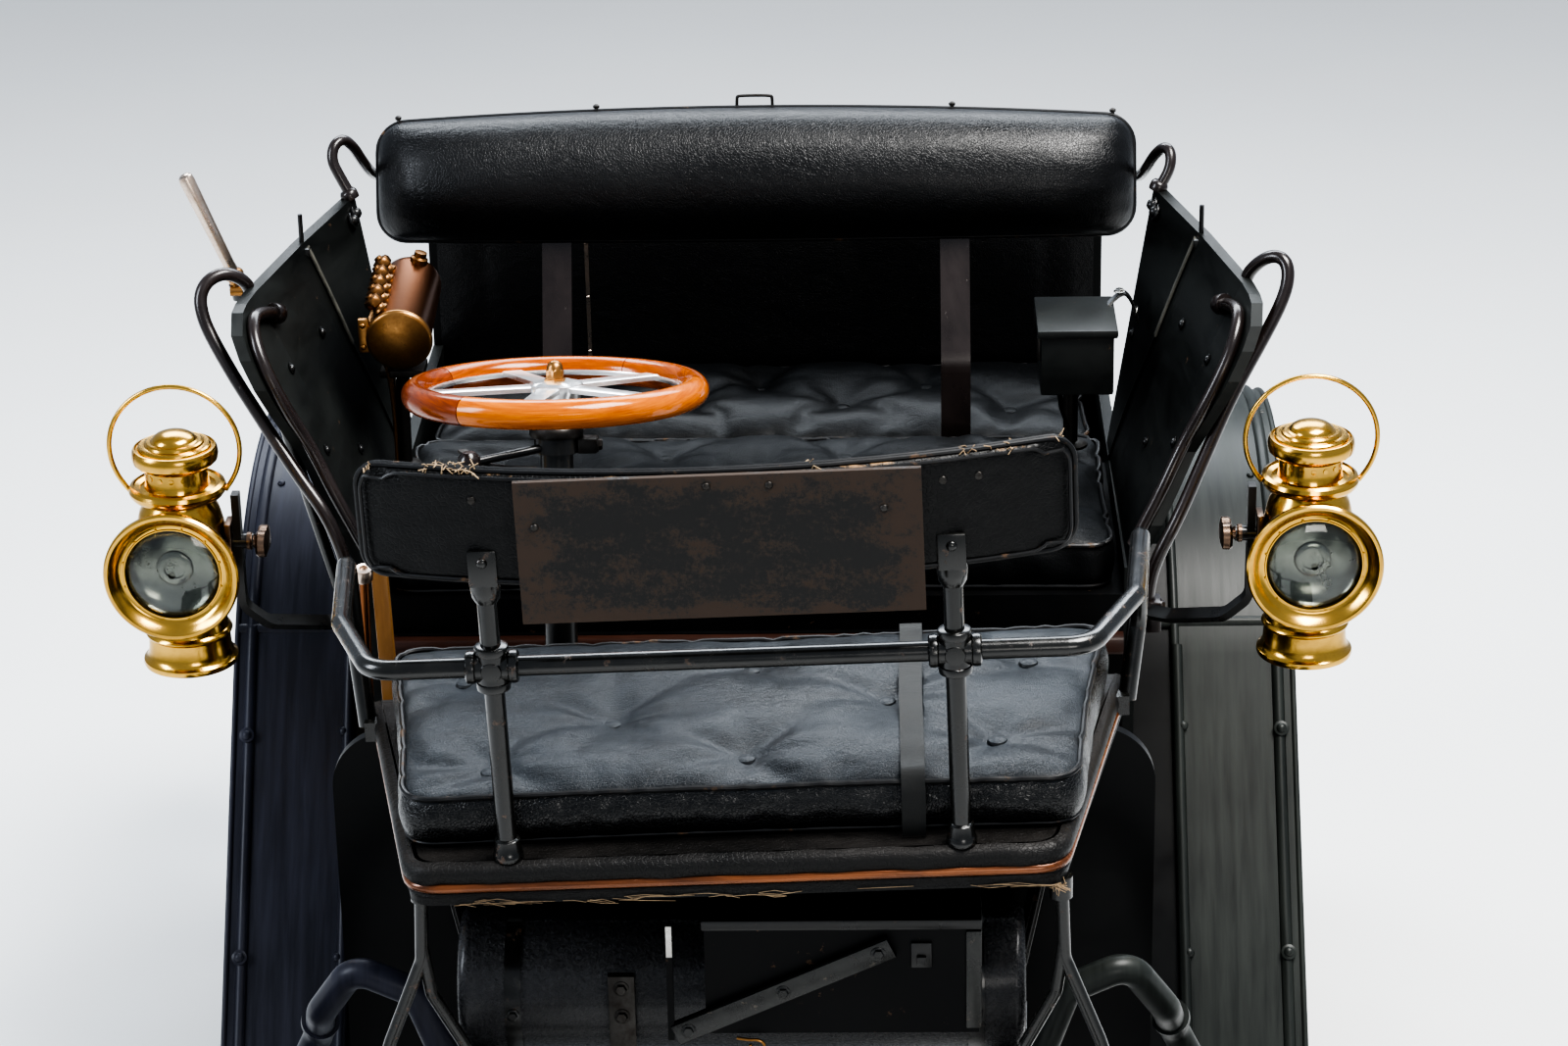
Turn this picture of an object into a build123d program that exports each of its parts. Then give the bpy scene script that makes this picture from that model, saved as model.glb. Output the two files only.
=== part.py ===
from build123d import *
import os
from math import sin, cos, radians, pi, sqrt, atan2, degrees

os.makedirs("parts", exist_ok=True)

# Brass era car with facing front seat, driver's bench and rear seat.
# Millimetres, +Z up, the front of the car at -Y, the ground at Z 0.

# ---- driving sizes -------------------------------------------------------
FRONT_AXLE_Y, REAR_AXLE_Y = -790.0, 750.0
FRONT_R, REAR_R = 312.0, 395.0
TYRE_R = 33.0
WHEEL_X = 620.0
KINGPIN_X = 530.0
ARM_LEN = 140.0
RAIL_X, RAIL_W, RAIL_Z0, RAIL_Z1 = 300.0, 36.0, 500.0, 564.0
FRONT_END, REAR_END = -1200.0, 1130.0
BODY_X = 470.0
DASH_Y = -360.0
SEAT_FRONT_Y = -30.0
TAIL_Y = 776.0
FSEAT_Z = 972.0
POST_X, POST_Y, POST_R = 235.0, -762.0, 10.5
GRIP_Z = 1191.0
BACK_Z0, BACK_Z1, BACK_W, BACK_T = 1286.0, 1408.0, 732.0, 26.0
LAMP_X, LAMP_Y, LAMP_Z = 652.0, -195.0, 1076.0
LAMP_RING_R = 78.0
MUD_X0, MUD_X1, MUD_T, BEAD_R = 546.0, 700.0, 2.5, 6.0
MUD_Y, MUD_R = 738.5, 480.0
COL_X, COL_Y, COL_Z, COL_LEAN = -212.0, -175.0, 1260.0, 11.5
STEER_R, STEER_RIM = 160.0, 17.0
GAP = 0.3


def rod(a, b, r, mode=Mode.ADD):
    a, b = Vector(*a), Vector(*b)
    d = b - a
    with Locations(Plane(origin=(a + b) * 0.5, z_dir=d.normalized()).location):
        Cylinder(r, d.length, mode=mode)


def block(x0, x1, y0, y1, z0, z1, mode=Mode.ADD):
    with Locations(((x0 + x1) / 2, (y0 + y1) / 2, (z0 + z1) / 2)):
        Box(x1 - x0, y1 - y0, z1 - z0, mode=mode)


def bent(points, r, bend):
    with BuildLine() as path:
        FilletPolyline(*points, radius=bend)
    with BuildSketch(Plane(origin=path.line @ 0, z_dir=path.line % 0)) as ring:
        Circle(r)
    sweep(ring.sketch, path=path.line)


def flat_bar(points, width, thick, x_dir, bend):
    with BuildLine() as path:
        if len(points) == 2:
            Line(*points)
        else:
            FilletPolyline(*points, radius=bend)
    with BuildSketch(Plane(origin=path.line @ 0, x_dir=x_dir, z_dir=path.line % 0)) as sec:
        Rectangle(width, thick)
    sweep(sec.sketch, path=path.line)


def guard(side, y, z, r, a0, a1, run, beads):
    # mudguard: one section with its beads, turned about the wheel from a0 to a1,
    # and drawn straight down in front of the wheel by run
    t = (0, -sin(radians(a0)), cos(radians(a0)))
    o = ((MUD_X0 + MUD_X1) / 2 * side, y + r * cos(radians(a0)), z + r * sin(radians(a0)))
    with BuildSketch(Plane(origin=o, x_dir=(side, 0, 0), z_dir=t)) as sec:
        Rectangle(MUD_X1 - MUD_X0, MUD_T)
        for x, q in beads:
            with Locations((x - (MUD_X0 + MUD_X1) / 2, 0)):
                Circle(q)
    revolve(sec.sketch, axis=Axis((0, y, z), (-1, 0, 0)), revolution_arc=a0 - a1)
    if run:
        extrude(sec.sketch, amount=run, dir=t)


def ball(p, r):
    with Locations(p):
        Sphere(r)


made = []


SEAT_ROLL, SEAT_ROLL_Z = 1.8, 1190.0  # the front seat sits a little askew: right end up
askew = Location((0, 0, SEAT_ROLL_Z)) * Location((0, 0, 0), (0, -SEAT_ROLL, 0)) * Location((0, 0, -SEAT_ROLL_Z))


def keep(builder, label, place=None):
    part = builder.part.moved(place) if place else builder.part
    part.label = label
    export_step(part, "parts/" + label + ".step")
    made.append(label)


# ---- frame ---------------------------------------------------------------
with BuildPart() as frame:
    for s in (-1, 1):
        block(s * RAIL_X - RAIL_W / 2, s * RAIL_X + RAIL_W / 2, -1130, REAR_END, RAIL_Z0, RAIL_Z1)
        with BuildSketch(Plane.YZ.offset(s * RAIL_X)) as horn:
            with BuildLine():
                Polyline((-1131, 500), (-1131, 564), (-1160, 560), (-1205, 520), (-1218, 482),
                         (-1186, 470), (-1160, 500), close=True)
            make_face()
        extrude(horn.sketch, amount=RAIL_W / 2, both=True)
        rod((s * RAIL_X - 18, FRONT_END, 480), (s * RAIL_X + 18, FRONT_END, 480), 20)
        for y in (-380.0, 372.0, 1122.0):
            block(s * RAIL_X - 13, s * RAIL_X + 13, y - 12, y + 12, 490, 501)
            rod((s * RAIL_X - 16, y, 480), (s * RAIL_X + 16, y, 480), 14)
    rod((-283, -1100, 532), (283, -1100, 532), 22)
    for y, z0, z1 in ((-430.0, 512.0, 560.0), (20.0, 512.0, 560.0), (150.0, 500.0, 528.0),
                      (450.0, 500.0, 528.0), (600.0, 512.0, 560.0), (1100.0, 512.0, 560.0)):
        block(-283, 283, y - 18, y + 18, z0, z1)
    block(-26, 26, -1152, -1100, 520, 544)
    rod((0, -1134, 515), (0, -1134, 550), 12.5, Mode.SUBTRACT)
    rod((0, 1070, 536), (0, 1130, 536), 12.5, Mode.SUBTRACT)
keep(frame, "chassis_frame")

# ---- springs -------------------------------------------------------------
SPRINGS = (
    # y0, y_mid, y1, z_end, z_mid, leaf rows (half length, thickness below)
    (-1176.0, FRONT_AXLE_Y, -397.0, 470.0, 362.0),
    (389.0, REAR_AXLE_Y, 1105.0, 470.0, 449.0),
)
with BuildPart() as springs:
    for y0, ym, y1, ze, zm in SPRINGS:
        for s in (-1, 1):
            with BuildSketch(Plane.YZ.offset(s * RAIL_X)) as leaf:
                with BuildLine():
                    a = ThreePointArc((y0, ze), (ym, zm), (y1, ze))
                    Line(a @ 1, (y1, ze + 9))
                    b = ThreePointArc((y1, ze + 9), (ym, zm + 9), (y0, ze + 9))
                    Line(b @ 1, a @ 0)
                make_face()
            extrude(leaf.sketch, amount=22, both=True)
            h = (y1 - y0) / 2
            for k, (f, t) in enumerate(((0.72, 8.0), (0.42, 7.0))):
                with BuildSketch(Plane.YZ.offset(s * RAIL_X)) as leaf2:
                    top = zm - 8.0 * k
                    rise = (ze - zm) * f * f
                    with BuildLine():
                        c = ThreePointArc((ym - h * f, top + rise - t + 0.8), (ym, top - t), (ym + h * f, top + rise - t + 0.8))
                        Line(c @ 1, (ym + h * f, top + rise + 0.8))
                        d = ThreePointArc((ym + h * f, top + rise + 0.8), (ym, top + 0.5), (ym - h * f, top + rise + 0.8))
                        Line(d @ 1, c @ 0)
                    make_face()
                extrude(leaf2.sketch, amount=22, both=True)
            block(s * RAIL_X - 25, s * RAIL_X + 25, ym - 22, ym + 22, zm - 17, zm + 16)
keep(springs, "leaf_springs")

# ---- front axle ----------------------------------------------------------
with BuildPart() as faxle:
    rod((-510, FRONT_AXLE_Y, FRONT_R), (510, FRONT_AXLE_Y, FRONT_R), 21)
    for s in (-1, 1):
        block(s * RAIL_X - 27, s * RAIL_X + 27, FRONT_AXLE_Y - 26, FRONT_AXLE_Y + 26, 322, 344.5)
        rod((s * KINGPIN_X, FRONT_AXLE_Y, FRONT_R - 27), (s * KINGPIN_X, FRONT_AXLE_Y, FRONT_R + 27), 23)
    for s in (-1, 1):
        rod((s * KINGPIN_X, FRONT_AXLE_Y, FRONT_R - 30), (s * KINGPIN_X, FRONT_AXLE_Y, FRONT_R + 30), 11.3, Mode.SUBTRACT)
keep(faxle, "front_axle")

# ---- rear axle -----------------------------------------------------------
with BuildPart() as raxle:
    rod((-572, REAR_AXLE_Y, REAR_R), (572, REAR_AXLE_Y, REAR_R), 28)
    rod((-75, REAR_AXLE_Y, REAR_R), (75, REAR_AXLE_Y, REAR_R), 96)
    rod((-130, REAR_AXLE_Y, REAR_R), (130, REAR_AXLE_Y, REAR_R), 62)
    for s in (-1, 1):
        block(s * RAIL_X - 27, s * RAIL_X + 27, REAR_AXLE_Y - 26, REAR_AXLE_Y + 26, 405, 431.5)
        rod((s * 571, REAR_AXLE_Y, REAR_R), (s * 668, REAR_AXLE_Y, REAR_R), 15)
keep(raxle, "rear_axle")

# ---- engine --------------------------------------------------------------
with BuildPart() as engine:
    block(-170, 170, 110, 490, 528.3, 850)
keep(engine, "engine_block")

# ---- body ----------------------------------------------------------------
with BuildPart() as floor:
    block(-BODY_X, BODY_X, DASH_Y + 16, SEAT_FRONT_Y - GAP, 564.3, 584)
keep(floor, "footwell_floor")

with BuildPart() as dash:
    with BuildSketch(Plane.XZ.offset(-DASH_Y)) as ds:
        with BuildLine():
            Polyline((-BODY_X, 564.3), (BODY_X, 564.3), (BODY_X, 918), (-BODY_X, 918), close=True)
        make_face()
        fillet(ds.vertices().group_by(Axis.Y)[-1], 70)
    extrude(ds.sketch, amount=-15.7)
    for s in (-1, 1):
        block(min(s * 326, s * BODY_X), max(s * 326, s * BODY_X), DASH_Y, DASH_Y + 15.7, 492, 566)
keep(dash, "dash_panel")

SB_X = 452.0
with BuildPart() as seatbox:
    block(-SB_X, SB_X, SEAT_FRONT_Y, SEAT_FRONT_Y + 16, 564.3, 915)
    block(-SB_X, SB_X, SEAT_FRONT_Y - 8, SEAT_FRONT_Y + 20, 865, 893)
    block(-SB_X, SB_X, SEAT_FRONT_Y, 400, 915, 937)
    block(-SB_X, SB_X, 384, 400, 886, 916)
    block(-SB_X, SB_X, 384, TAIL_Y - GAP, 870, 888)
    block(-SB_X, SB_X, TAIL_Y - 18, TAIL_Y - GAP, 564.3, 871)
    for s in (-1, 1):
        block(min(s * (SB_X - 14), s * SB_X), max(s * (SB_X - 14), s * SB_X), SEAT_FRONT_Y, TAIL_Y - GAP, 564.3, 871)
        block(min(s * (SB_X - 14), s * SB_X), max(s * (SB_X - 14), s * SB_X), SEAT_FRONT_Y, 400, 870, 916)
keep(seatbox, "seat_box")

PANEL_T = 14.0
with BuildPart() as sides:
    for s in (-1, 1):
        x0 = SB_X + GAP
        block(min(s * x0, s * (x0 + PANEL_T)), max(s * x0, s * (x0 + PANEL_T)), SEAT_FRONT_Y, TAIL_Y - GAP, 575, 972)
        rows = ((-30.0, 612.0, 1283.0), (100.0, 596.0, 1288.0), (240.0, 556.0, 1303.0), (383.0, 508.0, 1318.0))
        secs = []
        for y, xt, zt in rows:
            with BuildSketch(Plane.XZ.offset(-y)) as q:
                with BuildLine():
                    Polyline((s * x0, 965), (s * (x0 + PANEL_T), 965), (s * (xt + PANEL_T), zt), (s * xt, zt), close=True)
                make_face()
            secs.append(q.sketch)
        loft(sections=secs, ruled=True)
        with BuildSketch(Plane.YZ.offset(s * 400)) as cutter:
            with BuildLine():
                Polyline((-60, 960), (-30, 972), (-29, 1026), (-2, 1110), (-8, 1135), (-16, 1175), (-18, 1205), (-10, 1240), (6, 1266), (40, 1283), (90, 1291), (150, 1296), (150, 1400), (-60, 1400), close=True)
            make_face()
        extrude(cutter.sketch, amount=s * 320, mode=Mode.SUBTRACT)
keep(sides, "side_panels")

with BuildPart() as tail:
    block(-BODY_X + 4, BODY_X - 4, TAIL_Y + 5.5, TAIL_Y + 21.5, 592, 1150)
    for x in (-235.0, 0.0, 235.0):
        block(x - 11, x + 11, TAIL_Y + 21, TAIL_Y + 25, 600, 1145)
    for x in (-300.0, 300.0):
        rod((x - 30, TAIL_Y + 18, 586), (x + 30, TAIL_Y + 18, 586), 8)
keep(tail, "tailboard")

# ---- seats ---------------------------------------------------------------
with BuildPart() as fbase:
    with BuildSketch(Plane.XY.offset(946)) as fb:
        with BuildLine():
            Polyline((-328, -764), (328, -764), (414.6, DASH_Y - 2), (-414.6, DASH_Y - 2), close=True)
        make_face()
        fillet(fb.vertices().group_by(Axis.Y)[0], 25)
    extrude(fb.sketch, amount=FSEAT_Z - 946)
    with BuildSketch(Plane.XY.offset(926)) as fb2:
        with BuildLine():
            Polyline((-338, -774), (338, -774), (424, DASH_Y - 2), (-424, DASH_Y - 2), close=True)
        make_face()
        fillet(fb2.vertices().group_by(Axis.Y)[0], 28)
    extrude(fb2.sketch, amount=20.5)
keep(fbase, "front_seat_base", askew)

with BuildPart() as fcush:
    with BuildSketch(Plane.XY.offset(FSEAT_Z + GAP)) as fc:
        with BuildLine():
            Polyline((-350, -739), (364, -739), (412, -374), (-401, -374), close=True)
        make_face()
        fillet(fc.vertices(), 36)
    extrude(fc.sketch, amount=1044 - FSEAT_Z - GAP)
    fillet(fcush.faces().sort_by(Axis.Z)[-1].edges(), 22)
keep(fcush, "front_seat_cushion", askew)

with BuildPart() as dcush:
    with BuildSketch(Plane.XY.offset(937 + GAP)) as dc:
        with Locations((0, 165)):
            RectangleRounded(2 * (SB_X - 6), 376, 34)
    extrude(dc.sketch, amount=1015 - 937 - GAP)
    fillet(dcush.faces().sort_by(Axis.Z)[-1].edges(), 24)
keep(dcush, "driver_seat_cushion")

with BuildPart() as rcush:
    with BuildSketch(Plane.XY.offset(888 + GAP)) as rc:
        with Locations((0, 619)):
            RectangleRounded(2 * (SB_X - 8), 296, 34)
    extrude(rc.sketch, amount=960 - 888 - GAP)
    fillet(rcush.faces().sort_by(Axis.Z)[-1].edges(), 24)
keep(rcush, "rear_seat_cushion")

BOLSTER_Y, BOLSTER_Z, BOLSTER_R = 472.0, 1314.0, 87.0
BAR_X = 257.0
with BuildPart() as bars:
    for x in (-BAR_X, BAR_X):
        flat_bar(((x, 371, 937.3), (x, 371, 1090), (x, 462, 1290)), 38, 8, (1, 0, 0), 60)
        block(x - 19, x + 19, 355, 383.5, 937.3, 943)
    rod((-498, BOLSTER_Y, BOLSTER_Z), (498, BOLSTER_Y, BOLSTER_Z), BOLSTER_R + GAP, Mode.SUBTRACT)
keep(bars, "backrest_bars")

with BuildPart() as bolster:
    rod((-491, BOLSTER_Y, BOLSTER_Z), (491, BOLSTER_Y, BOLSTER_Z), BOLSTER_R)
    fillet(bolster.edges().filter_by(GeomType.CIRCLE), 30)
keep(bolster, "backrest_bolster")

# ---- front seat rail, back board, plate ---------------------------------
ARM_X = {-1: (360, 406, 428, 434), 1: (372, 425, 443, 441)}
with BuildPart() as rail:
    for s in (-1, 1):
        rod((s * POST_X, POST_Y, FSEAT_Z + GAP), (s * POST_X, POST_Y, 1390), POST_R)
        rod((s * POST_X, POST_Y, FSEAT_Z + GAP), (s * POST_X, POST_Y, FSEAT_Z + 8), 15)
        rod((s * POST_X, POST_Y, GRIP_Z - 21), (s * POST_X, POST_Y, GRIP_Z + 21), 16)
        rod((s * (POST_X - 26), POST_Y, GRIP_Z), (s * (POST_X + 24), POST_Y, GRIP_Z), 15)
        x = ARM_X[s]
        bent(((s * POST_X, POST_Y, GRIP_Z), (s * x[0], POST_Y, GRIP_Z), (s * x[1], -635, GRIP_Z - 2),
              (s * x[2], -425, GRIP_Z - 20), (s * x[3], -380, 1050), (s * 426, -400, 959)), POST_R, 34)
    rod((-POST_X, POST_Y, GRIP_Z), (POST_X, POST_Y, GRIP_Z), POST_R)
    for s in (-1, 1):
        block(min(s * 400, s * 428), max(s * 400, s * 428), -418, -382, 947, 970)
    with BuildSketch(Plane.XY.offset(900)) as trim:
        with BuildLine():
            Polyline((-328.3, -764.3), (328.3, -764.3), (415.3, DASH_Y), (-415.3, DASH_Y), close=True)
        make_face()
    extrude(trim.sketch, amount=72.3, mode=Mode.SUBTRACT)
keep(rail, "front_seat_rail", askew)

with BuildPart() as back:
    with BuildSketch(Plane.XY.offset(BACK_Z0)) as bk:
        with BuildLine():
            f = ThreePointArc((-BACK_W / 2, -738), (0, -800.6), (BACK_W / 2, -738))
            Line(f @ 1, (BACK_W / 2, -738 + BACK_T))
            g = ThreePointArc((BACK_W / 2, -738 + BACK_T), (0, -774.6), (-BACK_W / 2, -738 + BACK_T))
            Line(g @ 1, f @ 0)
        make_face()
    extrude(bk.sketch, amount=BACK_Z1 - BACK_Z0)
    ends = back.edges().filter_by(lambda e: abs((e @ 0).X) > BACK_W / 2 - 1 and abs((e @ 1).X) > BACK_W / 2 - 1).filter_by(Axis.Y)
    fillet(ends, 28)
    for s in (-1, 1):
        rod((s * POST_X, POST_Y, BACK_Z0 - 5), (s * POST_X, POST_Y, 1390.3), POST_R + GAP, Mode.SUBTRACT)
keep(back, "front_seat_back", askew)

with BuildPart() as plate:
    block(-195, 208, -808, -801, 1257, 1409)
keep(plate, "number_plate", askew)

STAY_TOP_X = {-1: 322, 1: 345}
with BuildPart() as stays:
    for s in (-1, 1):
        x = STAY_TOP_X[s]
        bent(((s * x, -752, 945), (s * (x + 4), -755, 842), (s * (x + 42), -757, 745), (s * (x + 72), -762, 650), (s * 400, -765, 540)), 7, 30)
        bent(((s * (x + 3), -754, 860), (s * (x - 4), -752, 800), (s * (x - 36), -735, 725), (s * 300, -700, 640), (s * 300, -690, 555)), 7, 20)
        rod((s * x, -752, 912), (s * x, -752, 945), 12)
        rod((s * 318.3, -765, 540), (s * 410, -765, 540), 10)
        rod((s * 384, -372, 945), (s * 306, -372, 555), 7)
    add(Solid.make_box(1000, 460, 60).moved(askew * Location((-500, -800, 925.7))), mode=Mode.SUBTRACT)
    block(-318.3, 318.3, -800, -350, 520, 564.3, Mode.SUBTRACT)
keep(stays, "front_seat_stays")

with BuildPart() as tank:
    rod((-318, -470, 661), (318, -470, 661), 84)
    fillet(tank.edges().filter_by(GeomType.CIRCLE), 12)
    rod((110, -470, 735), (110, -470, 756), 22)
    for x in (-300.0, 300.0):
        block(x - 14, x + 14, -520, -420, 564.3, 595)
keep(tank, "fuel_tank")

with BuildPart() as battery:
    block(-33, 262, -672, -545, 704, 840)
    for x in (20.0, 210.0):
        block(x - 12, x + 12, -612, -604, 838, 945)
    add(Solid.make_box(1000, 460, 60).moved(askew * Location((-500, -800, 925.7))), mode=Mode.SUBTRACT)
    flat_bar(((-66, -676, 706), (168, -676, 812)), 26, 7, (-0.41, 0, 0.91), 5)
    block(-74, -67, -679.5, -671, 700, 800)
keep(battery, "battery_box")

# ---- mudguards -----------------------------------------------------------
with BuildPart() as rmud:
    by, bz = MUD_Y + (MUD_R - 3) * cos(radians(138)), REAR_R + (MUD_R - 3) * sin(radians(138))
    for s in (-1, 1):
        guard(s, MUD_Y, REAR_R, MUD_R, 143.0, 9.36, 528.0,
              ((MUD_X0, 6.0), (MUD_X1 - 20, 8.0), (MUD_X1, 4.0)))
        rod((s * 466.6, by, bz), (s * (MUD_X1 - 2), by, bz), 8)
        rod((s * 466.6, MUD_Y, REAR_R + MUD_R - 3), (s * (MUD_X1 - 8), MUD_Y, REAR_R + MUD_R - 3), 7)
        bent(((s * 310, 1060, 530), (s * 500, 1062, 540), (s * 562, 1092, 722)), 7, 30)
        block(s * RAIL_X - 18.3, s * RAIL_X + 18.3, 1000, 1131, 490, 564.3, Mode.SUBTRACT)
keep(rmud, "rear_mudguards")

with BuildPart() as fmud:
    for s in (-1, 1):
        guard(s, FRONT_AXLE_Y, FRONT_R, 356.0, 136.0, 18.0, 0.0, ((MUD_X0, BEAD_R), (MUD_X1, BEAD_R)))
        bent(((s * 306, -555, 530), (s * 362, -555, 690), (s * 430, -552, 720), (s * 474, -525, 650), (s * 490, -450, 580), (s * 556, -436, 440)), 17, 28)
        rod((s * 482, -486, 616), (s * 484.5, -477, 608), 22)
        rod((s * 310, -1052, 530), (s * 560, -1040, 561), 7)
        block(s * RAIL_X - 18.3, s * RAIL_X + 18.3, -1131, -400, 490, 564.3, Mode.SUBTRACT)
keep(fmud, "front_mudguards")

# ---- lamps ---------------------------------------------------------------
LAMP_PROFILE = (
    # radius, height above the lens centre
    (0, -141), (54, -141), (55, -133), (48, -129), (47, -104), (50, -98), (44, -92), (41, -62), (50, -52), (53, 30), (46, 54),
    (38, 66), (52, 72), (56, 78), (53, 86), (36, 92), (35, 106), (46, 112), (49, 126), (41, 134), (32, 136), (29, 142), (0, 148),
)
with BuildPart() as lamps:
    for s in (-1, 1):
        x, y, z = s * LAMP_X, LAMP_Y, LAMP_Z
        with BuildSketch(Plane(origin=(x, y, z), x_dir=(1, 0, 0), z_dir=(0, -1, 0))) as lp:
            with BuildLine():
                Polyline(*LAMP_PROFILE, close=True)
            make_face()
        revolve(lp.sketch, axis=Axis((x, y, z), (0, 0, 1)))
        rod((x, y - 70, z), (x, y, z), 59)
        with Locations(Plane(origin=(x, y - 78, z), z_dir=(0, -1, 0)).location):
            Cone(62, LAMP_RING_R, 24)
        rod((x, y - 91, z), (x, y - 88, z), LAMP_RING_R)
        rod((x, y - 92, z), (x, y - 24, z), 56, Mode.SUBTRACT)
        rod((x - s * 50, y, z + 10), (x - s * 59.6, y, z + 10), 12)
keep(lamps, "lamps")

with BuildPart() as glasses:
    for s in (-1, 1):
        rod((s * LAMP_X, LAMP_Y - 82, LAMP_Z), (s * LAMP_X, LAMP_Y - 78, LAMP_Z), 56 - GAP)
keep(glasses, "lamp_glasses")

with BuildPart() as brackets:
    for s in (-1, 1):
        flat_bar(((s * (LAMP_X - 66), LAMP_Y, LAMP_Z + 70), (s * (LAMP_X - 66), LAMP_Y, LAMP_Z - 70),
                  (s * (LAMP_X - 92), LAMP_Y + 8, LAMP_Z - 96), (s * 505, -90, 935), (s * 467, -48, 925)), 16, 9, (0, 1, 0), 22)
        rod((s * (LAMP_X - 60.2), LAMP_Y, LAMP_Z + 10), (s * (LAMP_X - 84), LAMP_Y, LAMP_Z + 10), 9)
        rod((s * 467, -70, 925), (s * 467, -48, 925), 12)
        block(min(s * 440, s * 466.6), max(s * 440, s * 466.6), -120, -20, 850, 1000, Mode.SUBTRACT)
        block(min(s * 440, s * 500), max(s * 440, s * 500), -62, 0, 890, 960, Mode.SUBTRACT)
keep(brackets, "lamp_brackets")

# ---- fittings ------------------------------------------------------------
ARCH = {
    -1: ((603, 130, 1250), (615, 122, 1290), (634, 100, 1318), (658, 80, 1296), (645, 60, 1245), (600, 20, 1173),
         (545, -22, 1098), (508, -47, 1050), (480, -52, 985), (478, -52, 925)),
    1: ((603, 130, 1250), (615, 124, 1294), (635, 100, 1328), (652, 82, 1304), (640, 66, 1268), (622, 52, 1240), (585, 20, 1174),
        (551, -12, 1107), (514, -45, 1041), (480, -52, 985), (478, -52, 925)),
}
LOOP = {
    -1: ((515, 380, 1322.5), (534, 386, 1362), (522, 408, 1392), (502, 442, 1352), (499, 458, 1318)),
    1: ((514.5, 380, 1322.5), (531, 387, 1350), (520, 408, 1370), (502, 442, 1326), (500, 458, 1296)),
}
with BuildPart() as grab:
    for s in (-1, 1):
        bent(tuple((s * x, y, z) for x, y, z in ARCH[s]), 8, 14)
        rod((s * 592, 130, 1250), (s * 606, 130, 1250), 9)
        block(min(s * 467, s * 488), max(s * 467, s * 488), -62, -30.3, 900, 940)
        bent(tuple((s * x, y, z) for x, y, z in LOOP[s]), 7, 10)
keep(grab, "grab_rails")

with BuildPart() as lube:
    rod((-430, 140, 1209), (-430, 300, 1233), 41)
    rod((-436, 212, 1145), (-430, 212, 1200), 10)
    block(-466, -406, 190, 240, 1140, 1152)
    rod((-440, 215, 1016), (-440, 215, 1142), 8)
    rod((-440, 215, 1015.3), (-440, 215, 1022), 20)
keep(lube, "lubricator")

with BuildPart() as coil:
    block(360, 450, 205, 325, 1104, 1186)
    block(356, 454, 200, 330, 1180, 1192)
    rod((400, 265, 1015.3), (400, 265, 1106), 9)
    rod((400, 265, 1015.3), (400, 265, 1022), 22)
keep(coil, "coil_box")

with BuildPart() as lever:
    rod((-492, 330, 540), (-652, 300, 1238), 8)
    rod((-650, 300, 1230), (-708, 300, 1374), 7)
    rod((-646, 301, 1212), (-650, 300, 1232), 13)
    rod((-318.3, 330, 540), (-502, 330, 540), 12)
    rod((-484, 330, 540), (-502, 330, 540), 24)
keep(lever, "brake_lever")

# ---- steering ------------------------------------------------------------
ax = Vector(0, sin(radians(COL_LEAN)), cos(radians(COL_LEAN)))
hub = Vector(COL_X, COL_Y, COL_Z)
foot = hub - ax * ((COL_Z - 584.3) / ax.Z)
with BuildPart() as column:
    rod(foot + ax * 6, hub - ax * 26, 19)
    rod((foot.X, foot.Y, 584.3), (foot.X, foot.Y, 596), 28)
    rod(hub - ax * 70, hub - ax * 26, 26)
    rod(hub - ax * 60 + Vector(10, 0, 0), hub - ax * 60 + Vector(-95, -60, 0), 5)
    ball(hub - ax * 60 + Vector(-95, -60, 0), 12)
    block(COL_X - 60, COL_X - 40, -150, -138, 584.3, 690)
    block(COL_X + 60, COL_X + 80, -150, -138, 584.3, 690)
    block(COL_X - 75, COL_X - 25, -162, -150, 660, 720)
    block(COL_X + 45, COL_X + 95, -162, -150, 660, 720)
keep(column, "steering_column")

with BuildPart() as swheel:
    wp = Plane(origin=hub, x_dir=(1, 0, 0), z_dir=ax)
    with BuildSketch(Plane(origin=hub + Vector(STEER_R, 0, 0), x_dir=(1, 0, 0), z_dir=ax.cross(Vector(1, 0, 0)))) as rs:
        Circle(STEER_RIM)
    revolve(rs.sketch, axis=Axis(hub, ax))
    rod(hub - ax * 20, hub + ax * 12, 30)
    rod(hub + ax * 11, hub + ax * 30, 13)
    for k in range(5):
        t = radians(115 + 72 * k)
        d = wp.x_dir * cos(t) + wp.y_dir * sin(t)
        with Locations(Plane(origin=hub + d * ((25 + STEER_R - 8) / 2), x_dir=d, z_dir=ax).location):
            Box(STEER_R - 8 - 25, 22, 7)
keep(swheel, "steering_wheel")

for s, label in ((1, "knuckle_left"), (-1, "knuckle_right")):
    with BuildPart() as kn:
        k, y, z = s * KINGPIN_X, FRONT_AXLE_Y, FRONT_R
        rod((k, y, z - 46), (k, y, z + 46), 11)
        for z0 in (-46.0, 32.0):
            rod((k, y, z + z0), (k, y, z + z0 + 14), 22)
            block(min(k, k + s * 44), max(k, k + s * 44), y - 18, y + 18, z + z0, z + z0 + 14)
        block(min(k + s * 29, k + s * 44), max(k + s * 29, k + s * 44), y - 18, y + 18, z - 46, z + 46)
        rod((k + s * 40, y, z), (s * 664, y, z), 13)
        block(k - 11, k + 11, y, y + ARM_LEN, z - 46, z - 34)
        rod((k, y + ARM_LEN, z - 46), (k, y + ARM_LEN, z - 34), 16)
        rod((k, y + ARM_LEN, z - 50), (k, y + ARM_LEN, z - 30), 6.3, Mode.SUBTRACT)
    keep(kn, label)

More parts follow.
